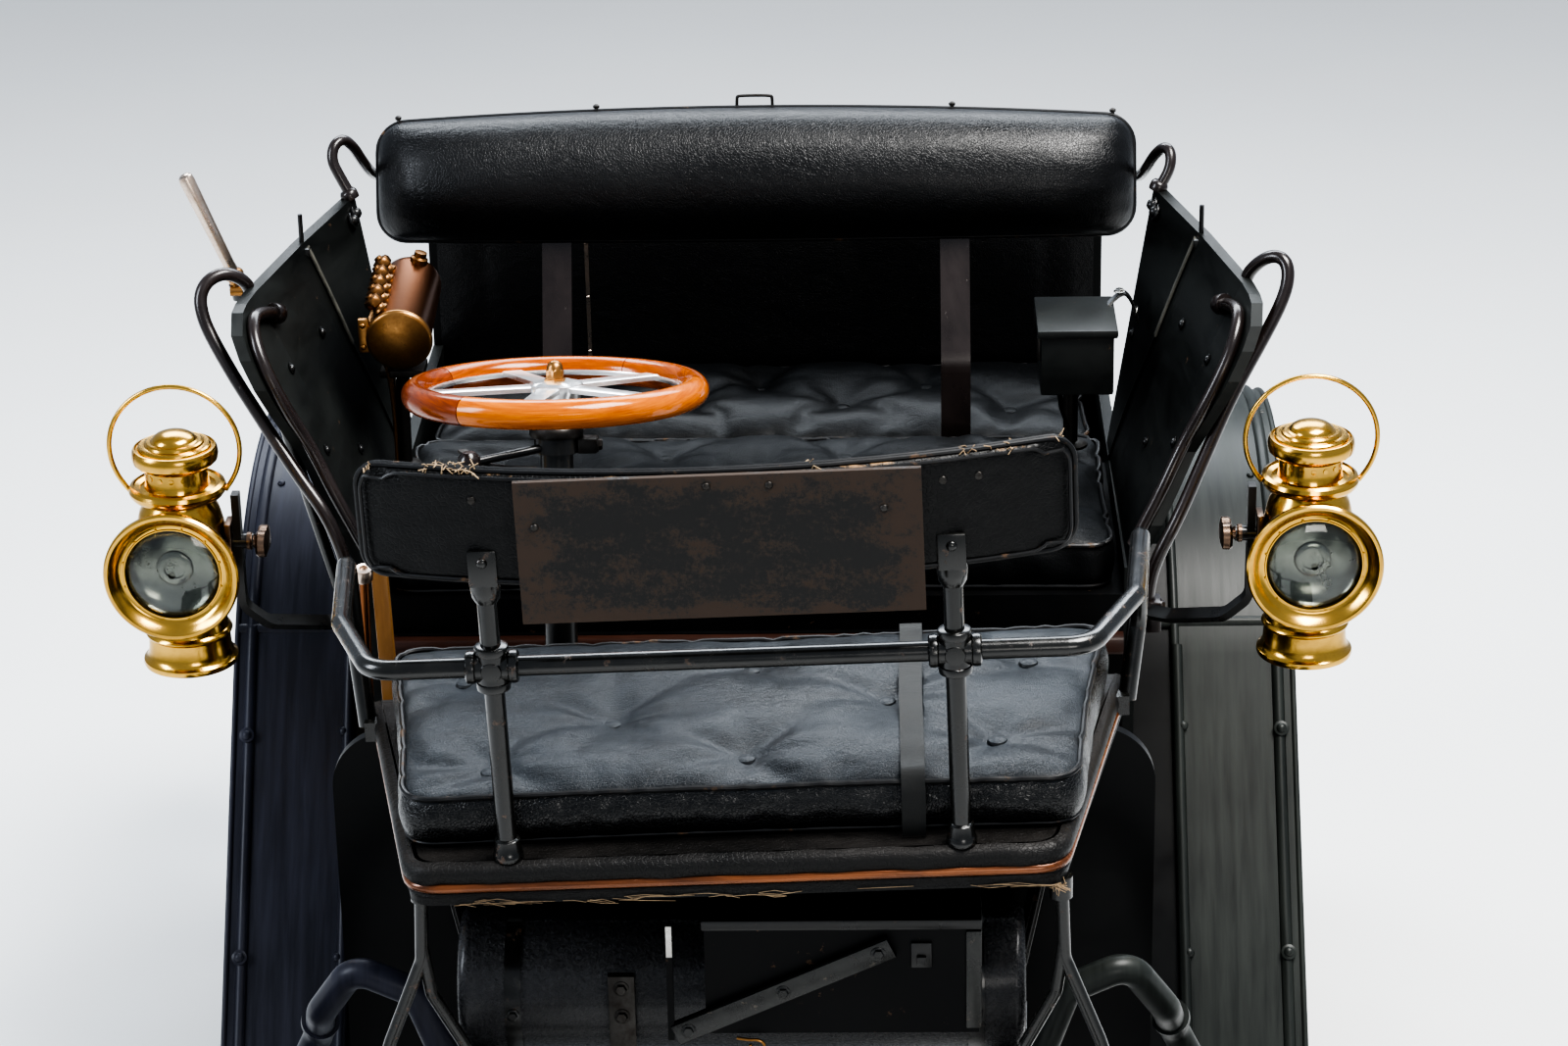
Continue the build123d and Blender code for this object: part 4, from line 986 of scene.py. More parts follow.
def front_seat_trim():
    # copper bead round the seat base, leather strap over the cushion
    def outline(off, z):
        w0, y0, w1, y1 = 0.338 + off, -0.774 - off, 0.421 + off, -0.365
        r = 0.030 + off
        pts = [(-w1, y1), (-(w0 + (w1 - w0) * 0.5), (y0 + y1) / 2)]
        sx = (w1 - w0) / (y1 - y0)
        left = Vector((-w0, y0))
        side = Vector((-sx, 1.0)).normalized()
        a = left + side * r
        b = left + Vector((r, 0))
        for k in range(7):
            t = k / 6
            q = a * (1 - t) ** 2 + left * 2 * t * (1 - t) + b * t * t
            pts.append((q.x, q.y))
        pts += [(0.0, y0)]
        pts += [(-x, y) for x, y in pts[-2::-1]]
        return [Vector((x, y, z)) for x, y in pts]

    bm = bmesh.new()
    add_tube(bm, outline(0.0005, 0.9465), 0.0058, 14)
    finish_mesh("seat_bead", bm, MB["bead"], "car_body")
    bm = bmesh.new()
    add_tube(bm, outline(-0.001, 0.9370), 0.0038, 8)
    add_tube(bm, outline(-0.003, 0.9290), 0.0032, 8)
    # soft leather skirt between the bead and the cushion
    rows = [outline(o, z) for o, z in ((0.0030, 0.9505), (0.0055, 0.9550), (0.0062, 0.9610), (0.0050, 0.9670), (0.0015, 0.9715), (-0.0060, 0.9735))]
    fine = []
    for row in rows:
        path = smooth_path(row, 10)
        path = [v if isinstance(v, Vector) else Vector(v) for v in path]
        fine.append([bm.verts.new(v + Vector((0, -0.0009 * math.sin(v.x * 71.0) - 0.0006 * math.sin(v.x * 173.0 + 1.0), 0.0006 * math.sin(v.x * 97.0)))) for v in path])
    for r0, r1 in zip(fine, fine[1:]):
        for k in range(len(r0) - 1):
            bm.faces.new((r0[k], r0[k + 1], r1[k + 1], r1[k]))
    finish_mesh("seat_edge_cord", bm, MB["leather_old"], "car_body")
    # loose threads under the bead
    rnd = random.Random(4)
    bm = bmesh.new()
    for _ in range(34):
        x = rnd.uniform(-0.30, 0.31)
        y = -0.775
        p = Vector((x, y, 0.9285 + rnd.uniform(-0.003, 0.002)))
        ln = rnd.uniform(0.015, 0.06)
        add_tube(bm, [p, p + Vector((ln * 0.5, -0.002, rnd.uniform(-0.003, 0.003))), p + Vector((ln, 0.0, rnd.uniform(-0.004, 0.001)))], 0.0004, 5)
    for _ in range(26):
        p = Vector((0.333 + rnd.gauss(0, 0.004), -0.768 + rnd.gauss(0, 0.004), 0.925))
        d = Vector((rnd.gauss(0.3, 0.6), rnd.gauss(-0.2, 0.6), rnd.gauss(-0.4, 0.5))).normalized() * rnd.uniform(0.006, 0.016)
        add_tube(bm, [p, p + d * 0.6, p + d], 0.0005, 5)
    finish_mesh("seat_threads", bm, MB["straw"], "car_body", 80)
    # strap
    pts = [(0.188, -0.372, 1.000), (0.188, -0.372, 1.042), (0.188, -0.385, 1.0555), (0.188, -0.45, 1.0590), (0.186, -0.55, 1.0575), (0.187, -0.65, 1.0545), (0.187, -0.715, 1.0470), (0.187, -0.7415, 1.0350), (0.187, -0.7470, 1.010), (0.186, -0.7485, 0.985), (0.186, -0.7460, 0.9745)]
    seat = bpy.data.objects["front_cushion"]
    tree = BVHTree.FromPolygons([v.co for v in seat.data.vertices], [tuple(q.vertices) for q in seat.data.polygons])
    back = ASKEW.inverted()
    laid = []
    for q in smooth_path(pts, 5):
        if -0.72 < q[1] < -0.39 and q[2] > 1.03:
            best = 0.0
            for dx in (-0.011, 0.0, 0.011):
                a = ASKEW @ Vector((q[0] + dx, q[1], 1.15))
                hit = tree.ray_cast(a, (ASKEW @ Vector((q[0] + dx, q[1], 1.0)) - a).normalized())
                if hit[0] is not None:
                    best = max(best, (back @ hit[0]).z)
            q = Vector((q[0], q[1], best + 0.0024 if best else q[2]))
        laid.append(q)
    for _ in range(3):
        laid = [laid[0]] + [Vector((b.x, b.y, max(b.z, (a.z + c.z) / 2))) for a, b, c in zip(laid, laid[1:], laid[2:])] + [laid[-1]]
    bm = bmesh.new()
    add_tube(bm, laid, 0, flat=(0.0014, 0.0125), up=(1, 0, 0))
    finish_mesh("seat_strap", bm, MB["strap"], "car_body", 60)
    # rings and stitches on the base flange are not modelled; flange screws
    bm = bmesh.new()
    for x in (-0.30, -0.2, 0.0, 0.2, 0.3):
        add_bolt(bm, (x, -0.7642, 0.959), (0, -1, 0), 0.003, 0.0016, "dome", False)
    finish_mesh("seat_base_tacks", bm, MB["iron"], "car_body")


# ---------------------------------------------------------------- steering
def steering():
    lean = math.radians(11.5)
    ax = Vector((0, math.sin(lean), math.cos(lean)))
    hub = Vector((-0.212, -0.175, 1.260))
    X = Vector((1, 0, 0))
    Y = ax.cross(X)
    R, q = 0.160, 0.0168
    body = "steering_hand_wheel"

    def arc(a0, a1, mat, name):
        bm = bmesh.new()
        n = max(6, int(abs(a1 - a0) / 3))
        rings = []
        for i in range(n + 1):
            a = math.radians(a0 + (a1 - a0) * i / n)
            d = X * math.cos(a) + Y * math.sin(a)
            ring = []
            for k in range(28):
                t = 2 * PI * k / 28
                # slightly deeper than wide, flat towards the inside
                rx, rz = q * 0.98, q * 1.0
                c = math.cos(t)
                ring.append(bm.verts.new(hub + d * (R + rx * (c if c > 0 else 0.94 * c)) + ax * rz * math.sin(t)))
            rings.append(ring)
        for r0, r1 in zip(rings, rings[1:]):
            for k in range(28):
                bm.faces.new([r0[k], r0[(k + 1) % 28], r1[(k + 1) % 28], r1[k]])
        bm.faces.new(rings[0][::-1])
        bm.faces.new(rings[-1])
        return finish_mesh(name, bm, mat, body, 50)

    g = 0.22
    first = arc(-124 + g, -2 - g, MB["wood_a"], "steering_rim_front")
    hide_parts("steering_wheel")
    arc(-2 + g, 62 - g, MB["wood_c"], "steering_rim_right")
    arc(62 + g, 150 - g, MB["wood_c"], "steering_rim_back")
    arc(150 + g, 236 - g, MB["wood_b"], "steering_rim_left")
    # spider: hub, five arms and a thin ring let into the rim
    bm = bmesh.new()
    ring = [hub + (X * math.cos(t) + Y * math.sin(t)) * 0.1455 for t in [2 * PI * k / 72 for k in range(72)]]
    add_tube(bm, ring, 0, flat=(0.0035, 0.0030), up=tuple(ax), cyclic=True)
    for k in range(5):
        t = math.radians(115 + 72 * k)
        d = X * math.cos(t) + Y * math.sin(t)
        w = ax.cross(d)
        pts, rows = [], []
        for i in range(9):
            f = i / 8
            rr = 0.020 + (0.147 - 0.020) * f
            half = 0.0135 - 0.0035 * f + 0.004 * max(0, f - 0.85) / 0.15
            zz = 0.0040 * (1 - f) + 0.001
            rows.append([bm.verts.new(hub + d * rr + w * a + ax * (zz + b)) for a, b in ((-half, -0.003), (-half, 0.0022), (-half * 0.8, 0.0034), (half * 0.8, 0.0034), (half, 0.0022), (half, -0.003))])
        for r0, r1 in zip(rows, rows[1:]):
            for j in range(6):
                bm.faces.new([r0[j], r0[(j + 1) % 6], r1[(j + 1) % 6], r1[j]])
        bm.faces.new(rows[0][::-1])
        bm.faces.new(rows[-1])
    def five(t, h):
        return 1.0 + 0.07 * math.cos(5 * (t - math.radians(25)))
    add_lathe(bm, [(0, -0.020), (0.024, -0.020), (0.027, -0.016), (0.027, -0.004), (0.030, 0.002), (0.030, 0.009), (0.027, 0.012), (0.017, 0.013), (0, 0.013)], hub, ax, 60, five)
    finish_mesh("steering_spider", bm, MB["alu"], body)
    bm = bmesh.new()
    def hexa(t, h):
        return math.cos(PI / 6) / math.cos((t % (PI / 3)) - PI / 6) if h < 0.026 else 1.0
    add_lathe(bm, [(0, 0.012), (0.0135, 0.012), (0.0135, 0.015), (0.0112, 0.0155), (0.0112, 0.0250), (0.0095, 0.0262), (0.0092, 0.029), (0.0075, 0.033), (0.004, 0.0358), (0, 0.0366)], hub, ax, 36, hexa)
    finish_mesh("steering_nut", bm, MB["brass_dull"], body)
    bm = bmesh.new()
    for k in range(5):
        for off in (-5, 5):
            t = math.radians(115 + 72 * k + off * 0.55)
            d = X * math.cos(t) + Y * math.sin(t)
            add_bolt(bm, hub + d * 0.1445 + ax * 0.0030, ax, 0.0028, 0.0016, "slot", False)
    finish_mesh("steering_screws", bm, MB["steel"], body)
    # fixed fittings under the wheel: lever, quadrant and clamp on the column
    body = "car_body"
    top = hub - ax * 0.060
    bm = bmesh.new()
    add_lathe(bm, [(0, 0), (0.029, 0), (0.031, 0.003), (0.031, 0.010), (0.029, 0.013), (0, 0.013)], hub - ax * 0.052, ax, 40)
    add_box(bm, hub - ax * 0.060 + Vector((0.036, -0.004, 0)), (0.022, 0.016, 0.018), None, 0.002)
    add_bolt(bm, hub - ax * 0.060 + Vector((0.047, -0.004, 0)), (1, 0, 0), 0.006, 0.006)
    q0 = smooth_path([hub - ax * 0.066 + Vector((-0.020, -0.045, -0.006)), hub - ax * 0.066 + Vector((-0.055, -0.052, -0.004)), hub - ax * 0.066 + Vector((-0.088, -0.040, 0.0)), hub - ax * 0.066 + Vector((-0.108, -0.012, 0.003))], 8)
    add_tube(bm, q0, 0, flat=(0.006, 0.0016), up=tuple(ax))
    finish_mesh("column_clamp", bm, MB["iron"], body)
    bm = bmesh.new()
    end = top + Vector((-0.095, -0.060, 0))
    add_lathe(bm, [(0, -0.013), (0.007, -0.0128), (0.0125, -0.007), (0.0138, 0), (0.0125, 0.007), (0.007, 0.0128), (0, 0.013)], end, (0, 0.1, 1), 28)
    finish_mesh("column_lever_knob", bm, MB["handle"], body)


# ---------------------------------------------------------------- lamps
def lamps():
    for s, tag in ((1, "left"), (-1, "right")):
        o = Vector((s * 0.652, -0.195, 1.076))
        bm = bmesh.new()
        prof = [(0, -141), (50, -141), (54.5, -140), (55.5, -137), (55, -133.5), (51.5, -131), (49.5, -127), (48.2, -122), (47.6, -112), (47.4, -105),
                (49.6, -103), (50.6, -100.5), (49.4, -98), (46.6, -96), (45.8, -93), (45, -86), (44, -74), (43.2, -65), (45, -62), (50.5, -58), (52, -54), (52, -48), (51, -46),
                (51.5, -20), (52, 10), (51, 30), (48.5, 42), (45.8, 52), (41, 60), (39.6, 64), (45, 66), (52, 69.5), (55.4, 74), (56.2, 78), (54.6, 82.5), (50.5, 85), (49.8, 82), (44, 80), (38, 82),
                (36.6, 86), (36, 92), (35.6, 104), (38.5, 108), (45, 109.5), (48.6, 113), (49.8, 119), (49, 126), (47, 129), (45.5, 129.2), (44.6, 127.4), (42.5, 127.6), (41.8, 131), (39.8, 132.6), (36.5, 132.2),
                (34.4, 132.6), (33.4, 135.2), (31.2, 136.6), (27.5, 136.4), (25.6, 137.4), (24.2, 140.4), (20, 143.6), (13, 146.4), (6, 147.6), (0, 148)]
        add_lathe(bm, [(r / 1000, h / 1000) for r, h in prof], o, (0, 0, 1), 72)
        # barrel between body and bezel
        f = (0, -1, 0)
        add_lathe(bm, [(0.0, 0.030), (0.056, 0.030), (0.0575, 0.040), (0.058, 0.056), (0.0605, 0.060), (0.0605, 0.0625), (0.0585, 0.0650), (0.0585, 0.0672), (0.0640, 0.0690), (0.0715, 0.0715),
                       (0.0765, 0.0745), (0.0780, 0.0790), (0.0778, 0.0835), (0.0758, 0.0862), (0.0725, 0.0860), (0.0690, 0.0835), (0.0655, 0.0790), (0.0620, 0.0755), (0.0590, 0.0738), (0.0565, 0.0738), (0.0558, 0.0752), (0.0545, 0.0752), (0.0540, 0.0700), (0.0540, 0.064)], o, f, 96)
        body = finish_mesh("lamp_body_" + tag, bm, MB["brass"], "car_body", 30)
        if s == 1:
            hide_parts("lamps")
        # reflector, burner, rivets
        bm = bmesh.new()
        add_lathe(bm, [(0.0535, 0.0700), (0.0528, 0.0682), (0.0490, 0.0640), (0.0410, 0.0596), (0.0310, 0.0566), (0.0200, 0.0549), (0.0090, 0.0541), (0.0, 0.0539)], o, f, 64)
        finish_mesh("lamp_reflector_" + tag, bm, MB["reflector"], "car_body")
        bm = bmesh.new()
        # a low ring at the bottom of the reflector
        add_lathe(bm, [(0.012, 0), (0.020, 0), (0.021, 0.0015), (0.019, 0.0030), (0.0125, 0.0030), (0.012, 0)], o + Vector((0, -0.0548, 0)), f, 40)
        finish_mesh("lamp_burner_" + tag, bm, MB["reflector"], "car_body")
        # glass: a shallow dome
        bm = bmesh.new()
        add_lathe(bm, [(0.0542, 0.0700), (0.050, 0.0722), (0.040, 0.0752), (0.026, 0.0772), (0.012, 0.0780), (0.004, 0.0782), (0.004, 0.0766), (0.012, 0.0764), (0.026, 0.0756), (0.040, 0.0736), (0.050, 0.0706), (0.0535, 0.0688), (0.0542, 0.0700)], o, f, 64)
        gl = finish_mesh("lamp_lens_" + tag, bm, MB["glass"], "car_body", 60)
        if s == 1:
            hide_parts("lamp_glasses")
        # small balls where the ring is riveted, and the hinge at the outer side
        bm = bmesh.new()
        for k in range(12):
            t = 2 * PI * (k + 0.5) / 12
            add_bolt(bm, o + Vector((0.0568 * math.cos(t), -0.0738, 0.0568 * math.sin(t))), (0, -1, 0), 0.0016, 0.0012, "dome", False)
        for hz in (-0.012, 0.0, 0.012):
            add_lathe(bm, [(0, -0.005), (0.0042, -0.005), (0.0046, -0.003), (0.0046, 0.003), (0.0042, 0.005), (0, 0.005)], o + Vector((s * 0.0600, -0.064, hz)), (0, 0, 1), 16)
        for k in range(16):
            t = 2 * PI * k / 16
            add_lathe(bm, [(0, 0), (0.0032, 0), (0.0030, 0.0008), (0, 0.0009)], o + Vector((0.0356 * math.cos(t), 0.0356 * math.sin(t), 0.098)), (math.cos(t), math.sin(t), 0), 10)
        # bail: a wire loop over the cap
        rr = 0.0755
        c = o + Vector((0, 0, 0.1265))
        pts = [o + Vector((-0.0555, 0, 0.0745))]
        for k in range(0, 27):
            t = math.radians(215 - 250 * k / 26)
            pts.append(c + Vector((rr * math.cos(t), 0, rr * math.sin(t))))
        pts.append(o + Vector((0.0555, 0, 0.0745)))
        add_tube(bm, smooth_path(pts, 4), 0.0029, 10)
        finish_mesh("lamp_trim_" + tag, bm, MB["brass"], "car_body")
        # socket on the bracket and the wing screw
        bm = bmesh.new()
        x0 = -s
        add_box(bm, o + Vector((x0 * 0.0560, 0, 0.010)), (0.008, 0.030, 0.052), None, 0.002)
        def wing(t, h):
            return 0.50 + 0.50 * abs(math.cos(t)) ** 1.5 if h > 0.010 else 1.0
        add_lathe(bm, [(0, 0.0), (0.0105, 0.0), (0.0105, 0.004), (0.0085, 0.0065), (0.0085, 0.0105), (0.0230, 0.0120), (0.0262, 0.0150), (0.0255, 0.0225), (0.0140, 0.0250), (0, 0.0255)], o + Vector((x0 * 0.0765, 0, 0.010)), (x0, 0, 0), 40, wing)
        finish_mesh("lamp_screw_" + tag, bm, MB["bronze"], "car_body")


# ---------------------------------------------------------------- body details
def wing_point(s, y, z):
    """inner face of the flared wing at y, z"""
    rows = ((-30.0, 612.0, 1283.0), (100.0, 596.0, 1288.0), (240.0, 556.0, 1303.0), (383.0, 508.0, 1318.0))
    ym = y * 1000
    for (y0, x0, z0), (y1, x1, z1) in zip(rows, rows[1:]):
        if ym <= y1 or y1 == 383.0:
            f = (ym - y0) / (y1 - y0)
            xt, zt = x0 + (x1 - x0) * f, z0 + (z1 - z0) * f
            break
    g = (z * 1000 - 965) / (zt - 965)
    return Vector((s * (452.3 + (xt - 452.3) * g) / 1000, y, z))


def wing_details():
    bm = bmesh.new()
    seam = bmesh.new()
    for s in (-1, 1):
        n = Vector((-s, 0, 0.35)).normalized()
        for y, z in ((0.085, 1.195), (0.055, 1.10), (0.20, 1.20), (0.16, 1.06), (0.36, 1.13)):
            p = wing_point(s, y, z)
            add_bolt(bm, p + n * 0.0002, n, 0.0052, 0.0045, "dome")
        # pin standing at the rim, and its clip
        p = wing_point(s, 0.245, 1.296)
        add_tube(bm, [p + Vector((s * 0.006, 0, -0.012)), p + Vector((s * 0.006, 0, 0.043))], 0.0030, 8)
        add_box(bm, p + Vector((s * 0.004, 0, -0.006)), (0.016, 0.014, 0.012), None, 0.002)
        # loops' feet behind
        for y, z in ((0.362, 1.292), (0.372, 1.298)):
            q = wing_point(s, y, z)
            add_bolt(bm, q, n, 0.008, 0.010, "dome")
        # worn strip along the seam of the two panels
        pts = [wing_point(s, 0.245 + 0.022 * k / 6, 1.296 - 0.135 * k / 6) + n * 0.0016 for k in range(7)]
        add_tube(seam, pts, 0, flat=(0.0050, 0.0014), up=tuple(n), mi=1)
        pts = [wing_point(s, 0.267 + 0.06 * k / 8, 1.161 - 0.19 * k / 8) + n * 0.0014 for k in range(9)]
        add_tube(seam, pts, 0, flat=(0.004, 0.001), up=tuple(n))
    finish_mesh("wing_bolts", bm, MB["frame"], "car_body")
    finish_mesh("wing_seam_strips", seam, [MB["wing"], MB["strip"]], "car_body")
    # grab rails: smooth arches over the wing corners, and the small loops behind
    bm = bmesh.new()
    arches = {-1: [(602, 128, 1250), (604, 124, 1283), (614, 112, 1303), (632, 100, 1314), (651, 88, 1308), (660, 78, 1291), (656, 68, 1268), (645, 58, 1245), (617, 35, 1202), (596, 20, 1173), (541, -20, 1098), (508, -45, 1062), (490, -52, 1020), (480, -52, 970), (478, -52, 922)],
              1: [(597, 128, 1250), (601, 124, 1285), (615, 112, 1309), (633, 100, 1323), (647, 90, 1319), (650, 80, 1302), (643, 68, 1278), (622, 52, 1240), (580, 20, 1174), (547, -10, 1107), (514, -45, 1041), (492, -52, 1000), (480, -52, 960), (478, -52, 922)]}
    loops = {-1: [(513, 380, 1321), (527, 384, 1347), (535, 388, 1364), (533, 396, 1381), (522, 408, 1387), (512, 424, 1372), (506, 450, 1346), (501, 500, 1312), (498, 548, 1292), (482, 568, 1286), (455, 569, 1284)],
             1: [(513, 380, 1316), (524, 384, 1332), (530, 388, 1349), (529, 398, 1363), (521, 408, 1364), (511, 424, 1348), (505, 450, 1326), (500, 500, 1298), (497, 548, 1280), (482, 569, 1276), (455, 570, 1275)]}
    inner = {-1: [(478, -28, 1000), (490, -25, 1057), (524, -4, 1127), (552, -12, 1182), (577, -3, 1235), (591, 22, 1268), (594, 60, 1279), (580, 108, 1258)],
             1: [(474, -26, 1000), (488, -25, 1057), (519, -4, 1122), (546, -8, 1176), (570, 0, 1228), (586, 24, 1262), (590, 62, 1275), (578, 108, 1258)]}
    for s in (-1, 1):
        add_tube(bm, smooth_path([(s * abs(x) / 1000, y / 1000, z / 1000) for x, y, z in arches[s]], 6), 0.0080, 16)
        add_tube(bm, smooth_path([(s * x / 1000, y / 1000, z / 1000) for x, y, z in loops[s]], 6), 0.0070, 14)
        pts = []
        for x, y, z in inner[s]:
            w = wing_point(s, max(-0.03, y / 1000), z / 1000)
            pts.append(Vector((w.x - s * 0.0080, y / 1000, z / 1000)))
        add_lathe(bm, [(0, -0.010), (0.0115, -0.010), (0.0125, -0.007), (0.0125, 0.004), (0.0105, 0.007), (0, 0.007)], pts[-1], (-s * 0.4, 0.8, -0.4), 20)
        add_tube(bm, smooth_path(pts, 6), 0.0078, 14)
        add_lathe(bm, [(0, -0.004), (0.0105, -0.004), (0.0115, 0.0), (0.0115, 0.006), (0.0090, 0.010), (0, 0.010)], (s * 0.513, 0.380, 1.318), (s * 0.5, 0.1, 1), 20)
        add_lathe(bm, [(0, -0.006), (0.0110, -0.006), (0.0120, 0.0), (0.0105, 0.006), (0, 0.006)], (s * 0.478, -0.052, 0.935), (0, 0, 1), 20)
    ob = finish_mesh("grab_rail_tubes", bm, MB["handle"], "car_body", 60)
    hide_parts("grab_rails")
    # brackets of the grab rails on the rail end
    bm = bmesh.new()
    for s in (-1, 1):
        p = Vector((s * 0.600, 0.126, 1.256))
        add_box(bm, p, (0.028, 0.024, 0.018), None, 0.004)
        add_bolt(bm, p + Vector((-s * 0.014, -0.004, 0.004)), (-s, -0.2, 0.2), 0.0075, 0.007, "hex")
        add_bolt(bm, p + Vector((0, -0.013, 0.0)), (0, -1, 0), 0.006, 0.005, "dome")
        add_box(bm, Vector((s * 0.4865, -0.048, 0.92)), (0.018, 0.030, 0.040), None, 0.003)
        add_bolt(bm, Vector((s * 0.4955, -0.048, 0.930)), (s, 0, 0), 0.006, 0.005)
    finish_mesh("grab_rail_brackets", bm, MB["handle"], "car_body")


def interior():
    # rear panel lining with its strip, studs
    bm = bmesh.new()
    add_tube(bm, [Vector((-0.247, 0.7795, 0.93)), Vector((-0.247, 0.7795, 1.148))], 0, flat=(0.003, 0.0012), up=(0, -1, 0))
    for z in (0.96, 1.04, 1.12):
        add_bolt(bm, (-0.247, 0.7785, z), (0, -1, 0), 0.0026, 0.0016, "dome", False)
    finish_mesh("rear_panel_strip", bm, MB["nickel"], "tailboard_leaf")
    # padded lining of the tailboard, ribbed flat panels
    bm = bmesh.new()
    nx, nz = 120, 34
    W, z0, z1, y = 0.455, 0.905, 1.142, 0.7812
    g = {}
    for i in range(nx + 1):
        for j in range(nz + 1):
            u, v = -1 + 2 * i / nx, j / nz
            e = min(1.0, (1 - abs(u)) * 16, v * 8, (1 - v) * 8)
            rib = 0.5 + 0.5 * math.cos(u * PI * 7)
            d = 0.0008 + 0.0018 * e * (0.35 + 0.65 * (1 - rib ** 10)) + 0.0006 * noise.noise(Vector((u * 12, v * 5, 0)))
            g[i, j] = bm.verts.new((u * W, y - d, z0 + (z1 - z0) * v))
    for i in range(nx):
        for j in range(nz):
            bm.faces.new([g[i, j], g[i + 1, j], g[i + 1, j + 1], g[i, j + 1]])
    finish_mesh("tailboard_lining", bm, MB["leather_back"], "tailboard_leaf", 70)
    bm = bmesh.new()
    for s in (-1, 1):
        for x in (0.235, 0.40):
            for z in (0.66, 0.90, 1.10):
                add_bolt(bm, (s * x, 0.8012 if x == 0.235 else 0.7976, z), (0, 1, 0), 0.006, 0.004, "dome", False)
        # hinge leaves
        add_box(bm, (s * 0.30, 0.7995, 0.625), (0.034, 0.0035, 0.070), None, 0.001)
        for z in (0.612, 0.645):
            add_bolt(bm, (s * 0.30, 0.8012, z), (0, 1, 0), 0.005, 0.003, "slot", False)
        # latch
        add_box(bm, (s * 0.435, 0.8000, 1.12), (0.030, 0.006, 0.022), None, 0.0015)
    finish_mesh("tailboard_fittings", bm, MB["iron"], "tailboard_leaf")
    # wooden rail under the driver's cushion with its moulding
    bm = bmesh.new()
    prof = [(-0.0005, 0.866), (-0.0100, 0.866), (-0.0125, 0.870), (-0.0125, 0.886), (-0.0100, 0.8905), (-0.0040, 0.8925), (-0.0005, 0.8925)]
    rows = []
    for i in range(61):
        x = -0.4515 + 0.903 * i / 60
        rows.append([bm.verts.new((x, -0.0385 + dy + 0.0005 * noise.noise(Vector((x * 20, z * 60, 0))), z)) for dy, z in prof])
    for r0, r1 in zip(rows, rows[1:]):
        for k in range(len(prof) - 1):
            bm.faces.new([r0[k], r0[k + 1], r1[k + 1], r1[k]])
    bm.faces.new(rows[0])
    bm.faces.new(rows[-1][::-1])
    bmesh.ops.holes_fill(bm, edges=[e for e in bm.edges if len(e.link_faces) == 1])
    finish_mesh("seat_rail_moulding", bm, MB["wood_red"], "car_body", 30)
    bm = bmesh.new()
    for x in (-0.40, -0.2, 0.02, 0.22, 0.40):
        add_bolt(bm, (x, -0.0508, 0.878), (0, -1, 0), 0.0042, 0.0022, "slot", False)
        add_bolt(bm, (x * 0.98, -0.0302, 0.760), (0, -1, 0), 0.0036, 0.0022, "slot", False)
        add_bolt(bm, (x * 0.98, -0.0302, 0.620), (0, -1, 0), 0.0036, 0.0022, "slot", False)
    finish_mesh("seat_box_screws", bm, MB["brass_dull"], "car_body")
    # footwell lever and rod on the right side
    bm = bmesh.new()
    pts = smooth_path([(-0.400, -0.300, 0.586), (-0.402, -0.296, 0.75), (-0.407, -0.290, 0.95), (-0.412, -0.285, 1.10)], 6)
    add_tube(bm, pts, 0, flat=(0.0095, 0.0060), up=(0, 1, 0))
    finish_mesh("footwell_lever", bm, MB["wood_pale"], "car_body", 50)
    bm = bmesh.new()
    add_lathe(bm, [(0, -0.52), (0.0055, -0.52), (0.0055, 0.0), (0, 0)], (-0.424, -0.325, 1.095), (0.02, 0, 1), 14)
    finish_mesh("footwell_rod", bm, MB["copper"], "car_body")
    bm = bmesh.new()
    add_lathe(bm, [(0, 0), (0.0095, 0), (0.0105, 0.002), (0.0105, 0.013), (0.0095, 0.016), (0.005, 0.0165), (0.0045, 0.013), (0, 0.013)], (-0.424, -0.325, 1.092), (0.05, -0.25, 1), 24)
    finish_mesh("footwell_rod_cap", bm, MB["nickel"], "car_body")
    # thin iron strips along the floor board joints
    bm = bmesh.new()
    for k in range(7):
        x = -0.45 + 0.15 * k
        add_box(bm, (x, -0.187, 0.5852), (0.0035, 0.300, 0.0016), None, 0.0004)
    finish_mesh("floor_board_joints", bm, MB["iron"], "car_body")
    # pedals' ribs
    bm = bmesh.new()
    for cx in (-0.262, -0.142):
        for k in range(4):
            add_box(bm, (cx, -0.1635, 0.671 + 0.013 * k), (0.046, 0.003, 0.005), None, 0.001)
    finish_mesh("pedal_ribs", bm, MB["iron"], "car_body")


